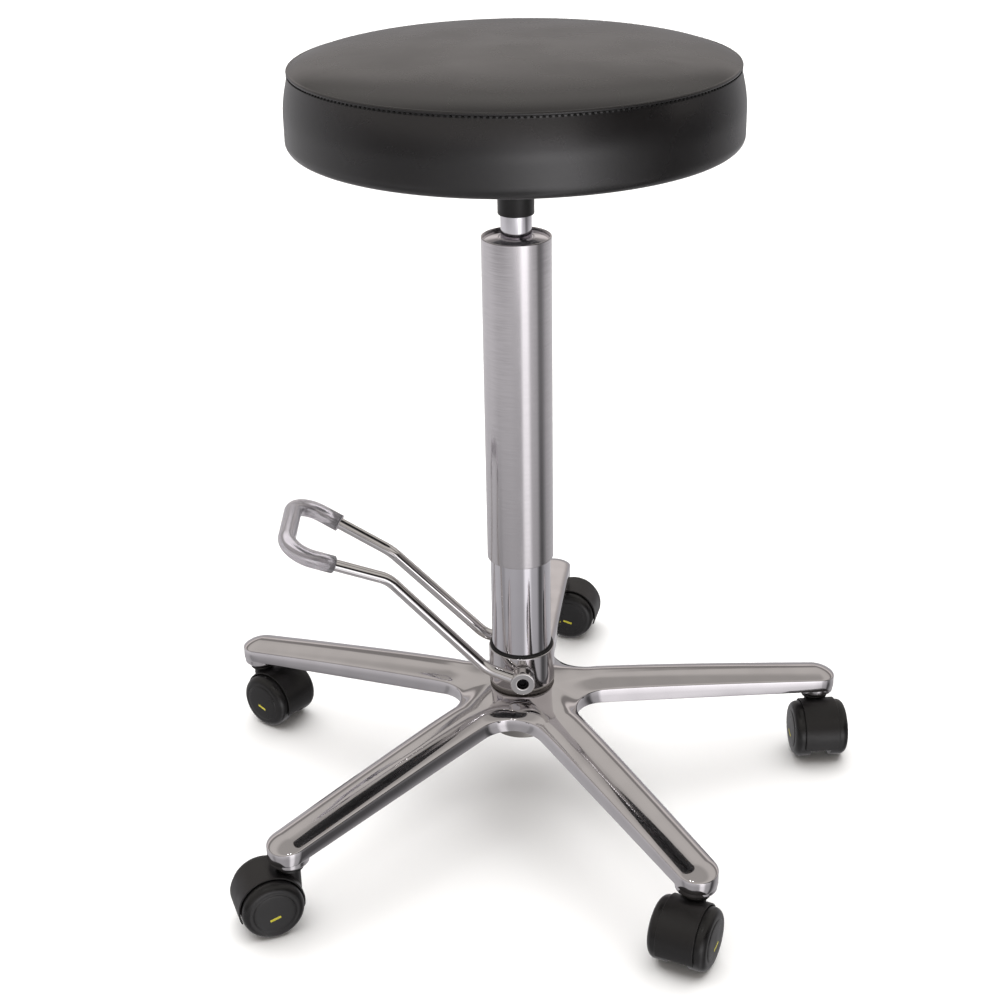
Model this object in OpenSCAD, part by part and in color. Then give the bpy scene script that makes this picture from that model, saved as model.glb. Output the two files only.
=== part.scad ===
// Dentist stool: round padded seat on a gas lift, foot lever, five-legged base on hooded casters.
// Millimetres. The origin is on the floor under the column, +Z is up, and the rear leg points to +Y.

/* [Seat] */
// Diameter of the seat at its widest
seat_d = 350; // [290:1:420]
// Height of the seat's side, from its lower edge to the seam
seat_side_h = 56; // [40:1:80]
// Rise of the crown above the seam
seat_crown = 9; // [4:0.5:20]
// How far the side is drawn in at the seam
seam_draw = 4; // [1:0.5:8]
// Rounding of the seat's lower edge
seat_edge_r = 7; // [3:0.5:12]
// Size of the ridge along the seam
seam_ridge = 1.4; // [0.6:0.1:2.5]
// Padding between the edge of the board and the outside of the cover
side_pad = 12; // [8:1:25]
// Thickness of the seat board
board_t = 12; // [9:1:18]
// Thickness of the cover where it is folded under the board
fold_t = 1.1; // [0.6:0.1:2]
// Width of the folded cover under the board
fold_w = 24; // [12:1:40]
// Thickness of the dust cover
dust_t = 0.6; // [0.4:0.1:1.5]
// Width of the square seat plate
plate_w = 150; // [120:1:180]
// Thickness of the seat plate
plate_t = 3.5; // [2:0.5:6]
// Corner radius of the seat plate
plate_corner = 14; // [4:1:25]
// Distance of the plate's screws from its edges
screw_edge = 16; // [8:0.5:25]
// Thread diameter of the plate's screws
screw_d = 6; // [4:0.5:8]

/* [Column] */
// Outer diameter of the cover tube
cover_d = 56; // [46:0.5:68]
// Wall of the cover tube
cover_wall = 1.5; // [1:0.1:3]
// Length of the cover tube
cover_len = 280; // [230:1:340]
// Thickness of the guides between the cover tube and the lower tube
guide_t = 1; // [0.6:0.1:3]
// Wall of the lower tube
tube_wall = 2; // [1.2:0.1:3]
// Travel of the seat upwards from rest
travel_up = 60; // [30:1:75]
// Travel of the seat downwards from rest
travel_down = 80; // [40:1:96]
// Room between cover tube and collar at the lowest seat
low_gap = 6.5; // [3:0.5:15]
// Room above the lower tube's guide at the lowest seat
end_gap = 4.7; // [2:0.1:15]
// Length of the cover tube's guide bush
guide_len = 40; // [20:1:60]
// Diameter of the bright neck above the cover tube
neck_d = 24.8; // [20:0.1:30]
// Wall of the neck
neck_wall = 3; // [2:0.1:4]
// Height of the neck that shows
neck_show = 18; // [8:1:40]
// Thickness of the cap in the cover tube
cap_t = 12; // [10:1:20]
// How far the cap sits below the tube's rim
cap_inset = 0.8; // [0.2:0.1:2]
// Wall of the black seat socket round the neck
socket_wall = 2.1; // [1.5:0.1:5]
// Height of the seat socket
socket_h = 55; // [40:1:80]
// Diameter of the gas cylinder
cylinder_d = 28; // [23:0.5:36]
// Wall of the gas cylinder
cylinder_wall = 2; // [1.5:0.1:3]
// How far the gas cylinder ends below the lower tube's end
cylinder_drop = 5; // [2:0.5:15]
// Diameter of the piston rod
rod_d = 10; // [8:0.5:12]
// Thickness of the piston
piston_t = 12; // [8:1:20]

/* [Collar and lever] */
// Wall of the collar round the lower tube
collar_wall = 2.9; // [2:0.1:6]
// Height of the collar
collar_h = 32; // [30:0.5:44]
// Height of the lever's shaft above the collar's lower face
pivot_h = 15; // [13:0.5:16]
// Height of the black seal ring
seal_h = 1.4; // [0.8:0.1:3]
// Turn of the lever about the column, away from -X towards -Y
lever_turn = 8; // [-20:1:20]
// Diameter of the lever's bar
bar_d = 10.2; // [8:0.1:12]
// Outer diameter of the lever's eyes
eye_d = 21; // [18:0.5:26]
// Lower bend of the bar: reach, distance out from the eye, height above the shaft
low_bend = [31, -6.5, 9.5]; // [-10:0.5:80]
// Upper bend of the bar: reach, distance out from the eye, height above the shaft
high_bend = [111.5, -10, 96]; // [-10:0.5:160]
// Corner of the foot loop: reach, distance out from the eye, height above the shaft
loop_bend = [194, 14, 136]; // [-10:0.5:240]
// Bend radius of the bar
bend_r = 30; // [15:1:40]
// Corner radius of the foot loop
loop_r = 20; // [14:1:30]
// Length of the straight ends of the sleeve
sleeve_leg = 24; // [8:1:36]
// Wall of the sleeve
sleeve_wall = 2.5; // [1.5:0.1:5]
// Diameter of the cross shaft
shaft_d = 12; // [10:0.2:14.4]
// Reach of the shaft's finger
finger_reach = 12; // [9:0.5:14]
// Diameter of the release pin
pin_d = 7; // [5:0.5:9]
// Height of the tappet's disc
tappet_t = 3; // [2:0.5:5]
// Free height between tappet and cylinder seat
spring_h = 6.6; // [5:0.2:9]
// Wire of the return spring
wire_d = 1.2; // [0.8:0.1:1.6]
// Turns of the return spring
spring_turns = 3; // [2:0.5:3.5]

/* [Base] */
// Distance of the caster stems from the column
base_reach = 272; // [220:1:330]
// Radius of the leg's round end
tip_r = 17; // [15:0.5:24]
// Width of the leg at the hub
root_w = 40; // [36:1:50]
// Radius of the web between two legs
web_r = 30; // [18:1:40]
// Height of the leg's round end with its boss
tip_h = 21.9; // [18:0.1:30]
// How far the boss stands below the leg
boss_drop = 4.9; // [3:0.1:9]
// Rise of the leg's crest from its end to the hub
leg_rise = 20.5; // [10:0.5:40]
// Rise of the leg's lower edge from its end to the column
under_rise = 23; // [5:0.5:30]
// Height of the crown across the leg at its end
leg_crown = 5.5; // [3:0.5:8]
// Height of the crown across the leg at the hub
root_crown = 7.5; // [4:0.5:10]
// Side wall of the hollow leg
leg_wall = 4; // [3:0.5:6]
// Thickness of the leg's roof
leg_roof = 8; // [7:0.5:11]
// Thickness of the rib under each leg
rib_t = 3; // [2:0.5:5]
// Rise of the roof from the legs to the column
hub_dome = 3; // [0:0.5:5]
// Height of the hub above the crest
hub_h = 5.5; // [4:0.5:20]
// How far the hub's waist lies inside the collar
waist_in = 3.9; // [2:0.1:5]
// Wall of the hub round the collar's spigot
hub_wall = 4.5; // [3:0.5:6]
// Thickness of the hub's floor
hub_floor = 10; // [6:0.5:14]
// Thread diameter of the hub bolt
bolt_d = 12; // [8:1:16]

/* [Casters] */
// Wheel diameter
wheel_d = 50; // [40:1:60]
// Width of one wheel
wheel_w = 15; // [10:0.5:18]
// How far each wheel stands out of the hood
wheel_show = 8.5; // [1:0.5:10]
// Rounding of the wheel's outer edge
shoulder = 6; // [3:0.5:8]
// Width of the flat between that rounding and the raised disc
face_in = 2.5; // [1:0.5:5]
// Trail from the stem to the axle
trail = 19.5; // [16:0.5:26]
// Wall of the hood
hood_wall = 1.5; // [1.2:0.1:3]
// Gap between wheel and hood
hood_gap = 0.5; // [0.4:0.1:1.5]
// Height of the neck that shows between hood and boss
hood_neck = 3.1; // [1.5:0.1:8]
// Diameter of the hood's neck
hood_neck_d = 17; // [16:0.5:24]
// Lower end of the hood behind the wheel, in degrees above the axle
lip_angle = -18; // [-45:1:0]
// Lower end of the hood before the wheel, in degrees over the top from behind
front_angle = 190; // [150:1:200]
// Diameter of the stem
stem_d = 11; // [9:0.2:13.2]
// Metal left over the stem in the leg's end
stem_roof = 6.5; // [4:0.5:9]
// Diameter of the axle
axle_d = 6; // [5:0.5:8]
// Where each caster trails to at rest, in degrees from +X, from the right leg on anticlockwise
caster_turn = [281, -6, -30, 208, 251]; // [-180:1:360]

/* [Hidden] */
$fn = 96;

// Clearances: a running fit, room for movement, room between still faces, and overrun of a cut
run = 0.05;
slack = 0.4;
gap = 0.3;
cut = 1;
sleeve_gap = 0.2;

// Repeats
legs = 5;
leg_step = 360 / legs;
first_leg = 90 - leg_step;
CASTERS = [1 : legs];
SIDES = [0, 180];

// Fits that set other sizes
cover_r = cover_d / 2;
cover_bore = cover_r - cover_wall;
tube_r = cover_bore - guide_t;
tube_bore = tube_r - tube_wall;
collar_r = tube_r + collar_wall;
collar_bore = tube_bore - 1.5;
waist_r = collar_r - waist_in;
spigot_r = waist_r - hub_wall;
shaft_r = shaft_d / 2;
bush_wall = 2;
bush_r = shaft_r + bush_wall;
bush_room = 1;

// Heights from the floor up
wheel_r = wheel_d / 2;
hood_r = wheel_r + hood_gap + hood_wall;
boss_z = wheel_r + hood_r + hood_neck;
tip_crest = boss_z + tip_h;
tip_low = boss_z + boss_drop;
hub_low = boss_z;
hub_crest = tip_crest + leg_rise;
hub_top = hub_crest + hub_h;
pivot_z = hub_top + pivot_h;
collar_top = hub_top + collar_h;
tube_z = pivot_z + bush_r + bush_room;
cover_z = collar_top + travel_down + low_gap;
cover_top = cover_z + cover_len;
cap_top = cover_top - cap_inset;
cap_z = cap_top - cap_t;
socket_z = cover_top + neck_show;
plate_z = socket_z + socket_h;
dust_z = plate_z + plate_t;
board_z = dust_z + dust_t;
seat_z = board_z - fold_t;
seam_z = seat_z + seat_side_h;

// Seat
seat_r = seat_d / 2;
board_r = seat_r - side_pad;
seam_r = seat_r - seam_draw;
screw_x = plate_w / 2 - screw_edge;
screw_bite = board_t - 2;
head_d = 2 * screw_d;
head_h = 0.6 * screw_d;
hex_d = 0.75 * screw_d;
hex_depth = 0.7 * head_h;

// Column
guide_lip = 2;
guide_inset = 1;
cap_r = cover_bore - run;
groove_w = 1;
groove_depth = 0.8;
groove_r = neck_d / 2 + 1.2;
neck_r = neck_d / 2;
neck_bore = neck_r - neck_wall;
neck_foot = 6;
socket_r = neck_r + socket_wall;
socket_flare = 10;
rod_r = rod_d / 2;
flange_t = 3;
flange_r = rod_r + 3.5;
washer_t = 2;
flange_z = cap_z - washer_t - flange_t;
clip_t = 1.2;
clip_depth = 0.8;
clip_slit = 3;
clip_r = neck_bore - 1;
clip_z = cap_top + slack;
rod_top = clip_z + clip_t + 3;
tube_top = flange_z - travel_down - end_gap - guide_lip;
seal_r = collar_r - 0.8;
cylinder_r = cylinder_d / 2;
cylinder_bore = cylinder_r - cylinder_wall;
cylinder_top = tube_top - cylinder_drop;
gland_t = 10;

// Release, from the shaft up
nose_r = 4;
nose_rise = shaft_r + run - nose_r;
tappet_z = pivot_z + nose_rise + nose_r + gap;
tappet_top = tappet_z + tappet_t;
tappet_r = finger_reach + 3;
seat_ring_z = tappet_top + spring_h;
ring_floor = 3;
ring_grip = 7;
ring_bore = collar_bore - 2;
cylinder_z = seat_ring_z + ring_floor;
cylinder_plug = 4;
pin_r = pin_d / 2;
pin_room = 1.5;
pin_len = 20;
pin_travel = 3;
piston_z = (cylinder_z + cylinder_top + travel_down - travel_up) / 2;
spring_r = pin_r + 4;
spring_seat = run;
spring_pitch = (spring_h - wire_d - 2 * spring_seat) / spring_turns;
spring_steps = 12;
spring_sides = 6;

// Lever
bar_r = bar_d / 2;
eye_r = eye_d / 2;
eye_half = bar_r + 0.4;
eye_gap = 2;
lug_stand = 0.3;
lug_face = collar_r + lug_stand;
lug_r = eye_r - 0.5;
eye_in = lug_face + eye_gap;
eye_mid = eye_in + eye_half;
eye_out = eye_mid + eye_half;
bush_in = collar_bore - 2;
eye_socket = 3.5;
eye_web = 2;
shaft_end = eye_in + eye_socket;
screw_seat = shaft_end + eye_web;
screw_face = eye_out - 1.9;
screw_head_r = 4.8;
screw_shank_r = 3;
screw_shank = 10;
screw_hex_r = 2.9;
screw_hex_depth = 2;
finger_w = 10;
finger_root = shaft_r - 0.5;
bar_start = bush_r;
bar_sides = 14;
bend_steps = 7;
lever_eye = [0, 0, 0];
lever_flat = [0.6, 0, 0.8];

// Base
leg_drop = 1.15;
web_mid = root_w / 2 / sin(leg_step / 2);
web_c = web_mid + web_r / sin(leg_step / 2);
web_x = web_c * cos(leg_step / 2);
web_y = web_c * sin(leg_step / 2);
web_steps = 5;
side_steps = 6;
tip_steps = 10;
crown_insets = [0.9, 0.65, 0.4, 0.2, 0.07, 0];
hollow_draft = 1.5;
boss_r = tip_r - 0.6;
boss_core_r = tip_r - leg_wall + 1;
boss_lap = 3;
rib_lap = 2;
rib_lift = 1.5;
rib_steps = 8;
hub_rim = 1;
hub_foot_r = waist_r + 3.5;
hub_foot_top = hub_crest - 4;
bolt_room = 0.5;
bolt_top = (hub_low + hub_floor + hub_top) / 2;
bolt_head_h = 0.65 * bolt_d;
bolt_head_d = 1.75 * bolt_d;
hub_washer_t = 2.5;
spigot_z = hub_low + hub_floor;
collar_floor = 4;

// Casters
stem_r = stem_d / 2;
stem_depth = tip_h - stem_roof;
stem_room = 0.5;
stem_low = wheel_r - 2;
ring_low = boss_z + 5;
ring_high = ring_low + 4;
ring_depth = 0.9;
ring_slit = 2;
stem_boss_r = hood_neck_d / 2;
neck_top = boss_z - slack;
wheel_in = stem_boss_r + slack;
wheel_out = wheel_in + wheel_w;
hood_half = wheel_out - wheel_show;
hood_cut = wheel_r + hood_gap;
hood_edge = 0.6 * hood_wall;
lip_r = 0.9 * hood_wall;
web_half = 3.5;
web_low = stem_low - 4.5;
axle_r = axle_d / 2;
axle_boss_r = axle_r + 4;
axle_half = wheel_out - 4;
dish = 0.45 * wheel_w;
rim_t = 4;
rim_edge = 1;
face_r = wheel_r - shoulder - face_in;
face_step = 0.6;
face_dome = 0.5;

BASE_NODES = ["star_base", "hub_bolt", "hub_washer", "caster_stems", "stem_rings", "lever_collar",
    "pivot_bushes", "seal_ring", "lower_tube", "tube_guide", "cylinder_seat", "gas_cylinder",
    "cylinder_gland"];
LIFT_NODES = ["piston_rod", "piston", "thrust_washer", "rod_clip"];
SEAT_NODES = ["cover_tube", "cover_guide", "cover_cap", "neck_tube", "seat_socket", "seat_plate",
    "plate_screws", "dust_cover", "seat_board", "cushion"];
LEVER_NODES = ["lever_bar", "lever_sleeve", "cross_shaft", "lever_screws"];
RELEASE_NODES = ["release_tappet", "release_pin", "return_spring"];
CASTER_PIECES = ["caster_hood_", "caster_axle_", "left_wheel_", "right_wheel_"];
CASTER_NODES = [for (i = CASTERS, name = CASTER_PIECES) str(name, i)];

// Angle of a leg, with leg 1 at the right
function leg_angle(i) = first_leg + leg_step * (i - 1);
function unit(v) = v / norm(v);
function reversed(points) = [for (k = [len(points) - 1 : -1 : 0]) points[k]];

// Points of an arc in a plane
function arc(c, r, from, to, steps) =
    [for (k = [0 : steps]) let (a = from + (to - from) * k / steps) c + r * [cos(a), sin(a)]];

// Round bend at corner b of the line a-b-c, as points along its arc
function bend(a, b, c, r, steps) =
    let (p = unit(a - b), q = unit(c - b), half = acos(p * q) / 2, turn = 180 - 2 * half,
         mid = b + unit(p + q) * r / sin(half), out = b + p * r / tan(half) - mid)
    [for (k = [0 : steps]) mid + out * cos(turn * k / steps) - p * r * sin(turn * k / steps)];

// Direction of a path at point i
function heading(path, i) =
    unit(path[min(i + 1, len(path) - 1)] - path[max(i - 1, 0)]);

// Ring of points square to a path; flat is a direction that the path never takes
function ring_at(p, t, flat, r, sides) =
    let (u = unit(cross(t, flat)), w = cross(u, t))
    [for (k = [0 : sides - 1]) p + r * (u * cos(360 * k / sides) + w * sin(360 * k / sides))];
function rings_along(path, flat, r, sides) =
    [for (i = [0 : len(path) - 1]) ring_at(path[i], heading(path, i), flat, r, sides)];

// Triangles between ring a and ring b of n points each
function strip(a, b, n) = [for (k = [0 : n - 1]) let (next = (k + 1) % n)
    each [[a + k, b + next, b + k], [a + k, a + next, b + next]]];
function flipped(faces) = [for (f = faces) reversed(f)];

// Skin over a list of rings: closed into a hoop, or with flat ends
module skin(rings, hoop = false) {
    n = len(rings[0]);
    last = len(rings) - 1;
    sides = [for (i = [0 : last - 1]) each strip(i * n, (i + 1) * n, n)];
    join = hoop ? strip(last * n, 0, n) : [];
    end = [for (k = [0 : n - 1]) k];
    ends = hoop ? [] : [reversed(end), [for (k = end) last * n + k]];
    polyhedron([for (r = rings) each r], concat(sides, join, ends));
}

// Cylinder about +Z from height a to height b
module drum(r, a, b) translate([0, 0, a]) cylinder(r = r, h = b - a);

// Tube about +Z
module pipe(r, bore, a, b) difference() {
    drum(r, a, b);
    drum(bore, a - cut, b + cut);
}

// Cylinder across the column along the lever's shaft, from a to b on one side
module cross_drum(r, a, b)
    rotate(lever_turn) translate([0, 0, pivot_z]) rotate([90, 0, 0]) drum(r, a, b);

// At each caster stem
module at_stems() for (i = CASTERS) rotate(leg_angle(i)) translate([base_reach, 0, 0]) children();

// Star base
// Share of the way from the hub to the leg's end at reach r
function leg_share(r) = max(0, r - web_x) / (base_reach - web_x);

// Heights of the leg's crest, crown and lower edge, and its half width, at reach r
function crest(r) = hub_crest - leg_rise * pow(leg_share(r), leg_drop)
    + hub_dome * max(0, 1 - r / web_x);
function crown(r) = root_crown + (leg_crown - root_crown) * min(1, leg_share(r));
function lower_edge(r) = tip_low + under_rise * (1 - r / base_reach);
function half_w(r) = root_w / 2 + (tip_r - root_w / 2) * leg_share(r);

// One side of the leg's outline, drawn in by a distance, from the web's middle to the round end
function leg_side(inset) = concat(
    arc([web_x, web_y], web_r + inset, 180 + leg_step / 2, 270, web_steps),
    [for (k = [1 : side_steps]) let (r = web_x + (base_reach - web_x) * k / side_steps)
        [r, half_w(r) - inset]]);
function leg_tip(inset) =
    let (a = arc([base_reach, 0], tip_r - inset, 90, -90, tip_steps)) [for (k = [1 : tip_steps - 1]) a[k]];
function mirrored(points) = [for (k = [len(points) - 1 : -1 : 1]) [points[k].x, -points[k].y]];
function leg_outline(inset) = concat(leg_side(inset), leg_tip(inset), mirrored(leg_side(inset)));

// The whole outline as one ring, each point lifted to height(reach)
function star_ring(inset, height) = [for (i = [legs : -1 : 1], p = leg_outline(inset))
    let (a = leg_angle(i)) [p.x * cos(a) - p.y * sin(a), p.x * sin(a) + p.y * cos(a), height(p.x)]];

// Triangles that close a star ring that starts at point a, with its middle at point m
function star_cap(a, m) =
    let (n = len(leg_outline(0)), all = n * legs, root = web_steps,
         pairs = side_steps + floor(tip_steps / 2))
    [for (i = [0 : legs - 1]) let (s = a + i * n, left = s + root, right = s + n - root) each concat(
        [for (k = [0 : pairs - 2]) let (l = left + k, r = right - k)
            each [[l, l + 1, r - 1], [l, r - 1, r]]],
        [[left + pairs - 1, left + pairs, right - pairs + 1]],
        [for (k = [0 : root - 1])
            each [[s + k, s + k + 1, m], [right + k, a + (i * n + n - root + k + 1) % all, m]]],
        [[left, right, m]])];

// Hollow casting with a crowned roof, open underneath
module star_shell() {
    roof = [for (s = crown_insets) star_ring(s * tip_r,
        function (r) crest(r) - crown(r) * (1 - sqrt(1 - pow(1 - s, 2))))];
    under = [star_ring(0, function (r) lower_edge(r)), star_ring(leg_wall, function (r) lower_edge(r)),
        star_ring(leg_wall + hollow_draft, function (r) crest(r) - leg_roof)];
    rings = reversed(concat(roof, under));
    n = len(rings[0]);
    last = len(rings) - 1;
    sides = [for (i = [0 : last - 1]) each strip(i * n, (i + 1) * n, n)];
    middles = [[0, 0, crest(0) - leg_roof], [0, 0, crest(0)]];
    low_middle = len(rings) * n;
    polyhedron(concat([for (r = rings) each r], middles),
        concat(sides, flipped(star_cap(0, low_middle)), star_cap(last * n, low_middle + 1)));
}

// Rib along the middle of a leg, from the hub to the boss
module leg_rib() {
    from = waist_r - rib_lap;
    reach = base_reach - boss_core_r + rib_lap - from;
    top = [for (k = [0 : rib_steps]) let (r = from + reach * k / rib_steps)
        [r, crest(r) - leg_roof + rib_lap]];
    low = [for (r = [from + reach, from]) [r, lower_edge(r) + rib_lift]];
    translate([0, rib_t / 2, 0]) rotate([90, 0, 0]) linear_extrude(rib_t) polygon(concat(top, low));
}

// Hub with a waist under the collar
module hub() {
    waist = arc([collar_r, hub_top - waist_in - hub_rim], waist_in, 180, 90, 6);
    rotate_extrude() polygon(concat([[0, hub_low], [hub_foot_r, hub_low], [hub_foot_r, hub_foot_top]],
        waist, [[collar_r, hub_top], [0, hub_top]]));
}

module star_base() color([0.78, 0.78, 0.78]) difference() {
    union() {
        star_shell();
        hub();
        at_stems() {
            drum(boss_r, boss_z, tip_low + boss_lap);
            drum(boss_core_r, boss_z, tip_crest - leg_crown);
        }
        for (i = CASTERS) rotate(leg_angle(i)) leg_rib();
    }
    drum(spigot_r + run, spigot_z, hub_top + cut);
    drum(bolt_d / 2 + bolt_room, hub_low - cut, hub_top);
    at_stems() drum(stem_r + run, boss_z - cut, boss_z + stem_depth + stem_room);
}

module hub_washer() color([0.6, 0.6, 0.6])
    pipe(bolt_d, bolt_d / 2 + gap, hub_low - hub_washer_t, hub_low);

module hub_bolt() color([0.5, 0.5, 0.5]) {
    head_top = hub_low - hub_washer_t;
    drum(bolt_d / 2, head_top - cut, bolt_top);
    translate([0, 0, head_top - bolt_head_h]) cylinder(d = bolt_head_d, h = bolt_head_h, $fn = 6);
}

module caster_stems() color([0.7, 0.7, 0.72]) at_stems() difference() {
    drum(stem_r, stem_low, boss_z + stem_depth);
    pipe(stem_d, stem_r - ring_depth, ring_low, ring_high);
}

// Spring rings that hold the stems in the base
module stem_rings() color([0.5, 0.5, 0.52]) at_stems() difference() {
    pipe(stem_r, stem_r - ring_depth, ring_low, ring_high);
    translate([0, -ring_slit / 2, ring_low - cut]) cube([stem_d, ring_slit, ring_high - ring_low + 2 * cut]);
}

// Column that stands still
module lever_collar() color([0.76, 0.76, 0.76]) difference() {
    union() {
        drum(collar_r, hub_top, collar_top);
        drum(spigot_r, spigot_z, hub_top + cut);
        for (side = SIDES) rotate(side) cross_drum(lug_r, 0, lug_face);
    }
    drum(collar_bore, hub_top + collar_floor, tube_z + cut);
    drum(tube_r, tube_z, collar_top + cut);
    drum(bolt_d / 2, hub_low, bolt_top + 2 * cut);
    for (side = SIDES) rotate(side) cross_drum(bush_r, 0, lug_face + cut);
}

module pivot_bushes() color([0.75, 0.6, 0.35]) for (side = SIDES) rotate(side) difference() {
    cross_drum(bush_r, bush_in, lug_face);
    cross_drum(shaft_r + run, bush_in - cut, lug_face + cut);
}

module seal_ring() color([0.05, 0.05, 0.05]) pipe(seal_r, tube_r, collar_top, collar_top + seal_h);

module lower_tube() color([0.8, 0.8, 0.82]) pipe(tube_r, tube_bore, tube_z, tube_top);

// Guide ring on the tube's end, which bears on the bore of the cover tube
module tube_guide() color([0.9, 0.9, 0.86]) difference() {
    drum(cover_bore - run, tube_top - guide_len / 2, tube_top + guide_lip);
    drum(tube_r, tube_top - guide_len, tube_top);
    drum(tube_bore, tube_top - cut, tube_top + guide_lip + cut);
}

// Ring that stands on the collar's step and holds the gas cylinder
module cylinder_seat() color([0.55, 0.55, 0.58]) difference() {
    drum(tube_bore - run, tube_z, cylinder_z + ring_grip);
    drum(ring_bore, tube_z - cut, seat_ring_z);
    drum(pin_r + pin_room, seat_ring_z - cut, cylinder_z + cut);
    drum(cylinder_r, cylinder_z, cylinder_z + ring_grip + cut);
}

module gas_cylinder() color([0.1, 0.1, 0.1]) difference() {
    drum(cylinder_r, cylinder_z, cylinder_top);
    drum(cylinder_bore, cylinder_z + pin_len + cylinder_plug, cylinder_top + cut);
    drum(pin_r + run, cylinder_z - cut, cylinder_z + pin_len);
}

module cylinder_gland() color([0.2, 0.2, 0.2])
    pipe(cylinder_bore, rod_r + run, cylinder_top - gland_t, cylinder_top);

// Lift
module piston_rod() color([0.85, 0.85, 0.87]) difference() {
    union() {
        drum(rod_r, piston_z, rod_top);
        drum(flange_r, flange_z, cap_z - washer_t);
    }
    pipe(rod_d, rod_r - clip_depth, clip_z, clip_z + clip_t);
}

module piston() color([0.3, 0.3, 0.3]) pipe(cylinder_bore - run, rod_r, piston_z, piston_z + piston_t);

module thrust_washer() color([0.75, 0.6, 0.35]) pipe(flange_r, rod_r, cap_z - washer_t, cap_z - run);

module rod_clip() color([0.35, 0.35, 0.35]) difference() {
    pipe(clip_r, rod_r - clip_depth, clip_z, clip_z + clip_t);
    translate([0, -clip_slit / 2, clip_z - cut]) cube([neck_r, clip_slit, clip_t + 2 * cut]);
}

// Column that moves with the seat
module cover_tube() color([0.72, 0.72, 0.72]) pipe(cover_r, cover_bore, cover_z, cover_top);

module cover_guide() color([0.9, 0.9, 0.86])
    pipe(cover_bore, tube_r + run, cover_z + guide_inset, cover_z + guide_inset + guide_len);

// Cap with a groove round the neck
module cover_cap() color([0.75, 0.75, 0.75]) difference() {
    drum(cap_r, cap_z, cap_top);
    drum(rod_r + run, cap_z - cut, cap_top + cut);
    drum(neck_r, cap_top - neck_foot, cap_top + cut);
    pipe(groove_r + groove_w, groove_r, cap_top - groove_depth, cap_top + cut);
}

module neck_tube() color([0.85, 0.85, 0.87]) difference() {
    drum(neck_r, cap_top - neck_foot, plate_z - neck_foot);
    drum(neck_bore, cap_top - neck_foot / 2, plate_z);
    drum(rod_r + run, cap_z, cap_top);
}

// Seat
module seat_socket() color([0.06, 0.06, 0.06]) {
    rim = arc([socket_r + socket_flare, socket_h - socket_flare], socket_flare, 180, 90, 6);
    bore_h = socket_h - neck_foot;
    translate([0, 0, socket_z]) rotate_extrude() difference() {
        polygon(concat([[0, 0], [socket_r, 0]], rim, [[0, socket_h]]));
        translate([0, -cut]) square([neck_r, bore_h + cut]);
    }
}

module at_plate_corners() for (x = [-1, 1], y = [-1, 1])
    translate([x * screw_x, y * screw_x, 0]) children();

module seat_plate() color([0.08, 0.08, 0.08]) difference() {
    translate([0, 0, plate_z]) linear_extrude(plate_t) {
        flat = plate_w - 2 * plate_corner;
        square([plate_w, flat], center = true);
        square([flat, plate_w], center = true);
        for (x = [-1, 1], y = [-1, 1]) translate([x * flat / 2, y * flat / 2]) circle(plate_corner);
    }
    at_plate_corners() drum(screw_d / 2 + gap, plate_z - cut, dust_z + cut);
}

module plate_screws() color([0.3, 0.3, 0.3]) at_plate_corners() difference() {
    union() {
        drum(head_d / 2, plate_z - head_h, plate_z);
        drum(screw_d / 2, plate_z - cut, board_z + screw_bite);
    }
    translate([0, 0, plate_z - head_h - cut]) cylinder(d = hex_d, h = hex_depth + cut, $fn = 6);
}

module dust_cover() color([0.12, 0.12, 0.12]) difference() {
    drum(board_r - fold_w - gap, dust_z, board_z);
    at_plate_corners() drum(screw_d / 2 + gap, dust_z - cut, board_z + cut);
}

module seat_board() color([0.72, 0.58, 0.4]) difference() {
    drum(board_r, board_z, board_z + board_t);
    at_plate_corners() drum(screw_d / 2, board_z - cut, board_z + screw_bite);
}

// Cushion: crowned top, seam ridge, bulging side that is drawn in at the seam, rounded lower edge
module cushion() color([0.07, 0.07, 0.075]) {
    top_steps = 12;
    side_steps = 8;
    edge_steps = 5;
    crown_power = 0.8;
    bulge_rate = 1.6;
    ridge_r = seam_r - seam_ridge;
    side_top = seam_z - 1.5 * seam_ridge;
    side_low = seat_z + seat_edge_r;
    top = [for (k = [0 : top_steps]) let (t = 90 * k / top_steps)
        [ridge_r * sin(t), seam_z + seam_ridge / 2 + seat_crown * pow(cos(t), crown_power)]];
    ridge = arc([ridge_r, seam_z], seam_ridge, 60, -60, 4);
    side = [for (k = [0 : side_steps]) let (t = k / side_steps)
        [ridge_r + (seat_r - ridge_r) * sin(90 * min(1, bulge_rate * t)),
            side_top + (side_low - side_top) * t]];
    edge = arc([seat_r - seat_edge_r, side_low], seat_edge_r, 0, -90, edge_steps);
    under = [[board_r - fold_w, seat_z], [board_r - fold_w, board_z], [board_r + gap, board_z],
        [board_r + gap, board_z + board_t], [0, board_z + board_t]];
    rotate_extrude($fn = 128) polygon(concat(top, ridge, side, [for (k = [1 : edge_steps]) edge[k]], under));
}

// Foot lever, in its own directions: reach along -X, sideways along -Y
function lever_point(p, side) = [-p[0], -side * (eye_mid + p[1]), pivot_z + p[2]];

// Where the sleeve starts on an arm
function sleeve_start(side) =
    let (b = lever_point(high_bend, side), c = lever_point(loop_bend, side))
    c + unit(b - c) * (loop_r + sleeve_leg);

// One arm from the eye to the middle of the foot loop
function arm(side) =
    let (e = lever_point(lever_eye, side), a = lever_point(low_bend, side),
         b = lever_point(high_bend, side), c = lever_point(loop_bend, side),
         over = lever_point(loop_bend, -side))
    concat([e + unit(a - e) * bar_start], bend(e, a, b, bend_r, bend_steps),
        bend(a, b, c, bend_r, bend_steps), [sleeve_start(side)], bend(b, c, over, loop_r, bend_steps));
function lever_path() = concat(arm(1), reversed(arm(-1)));

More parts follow.
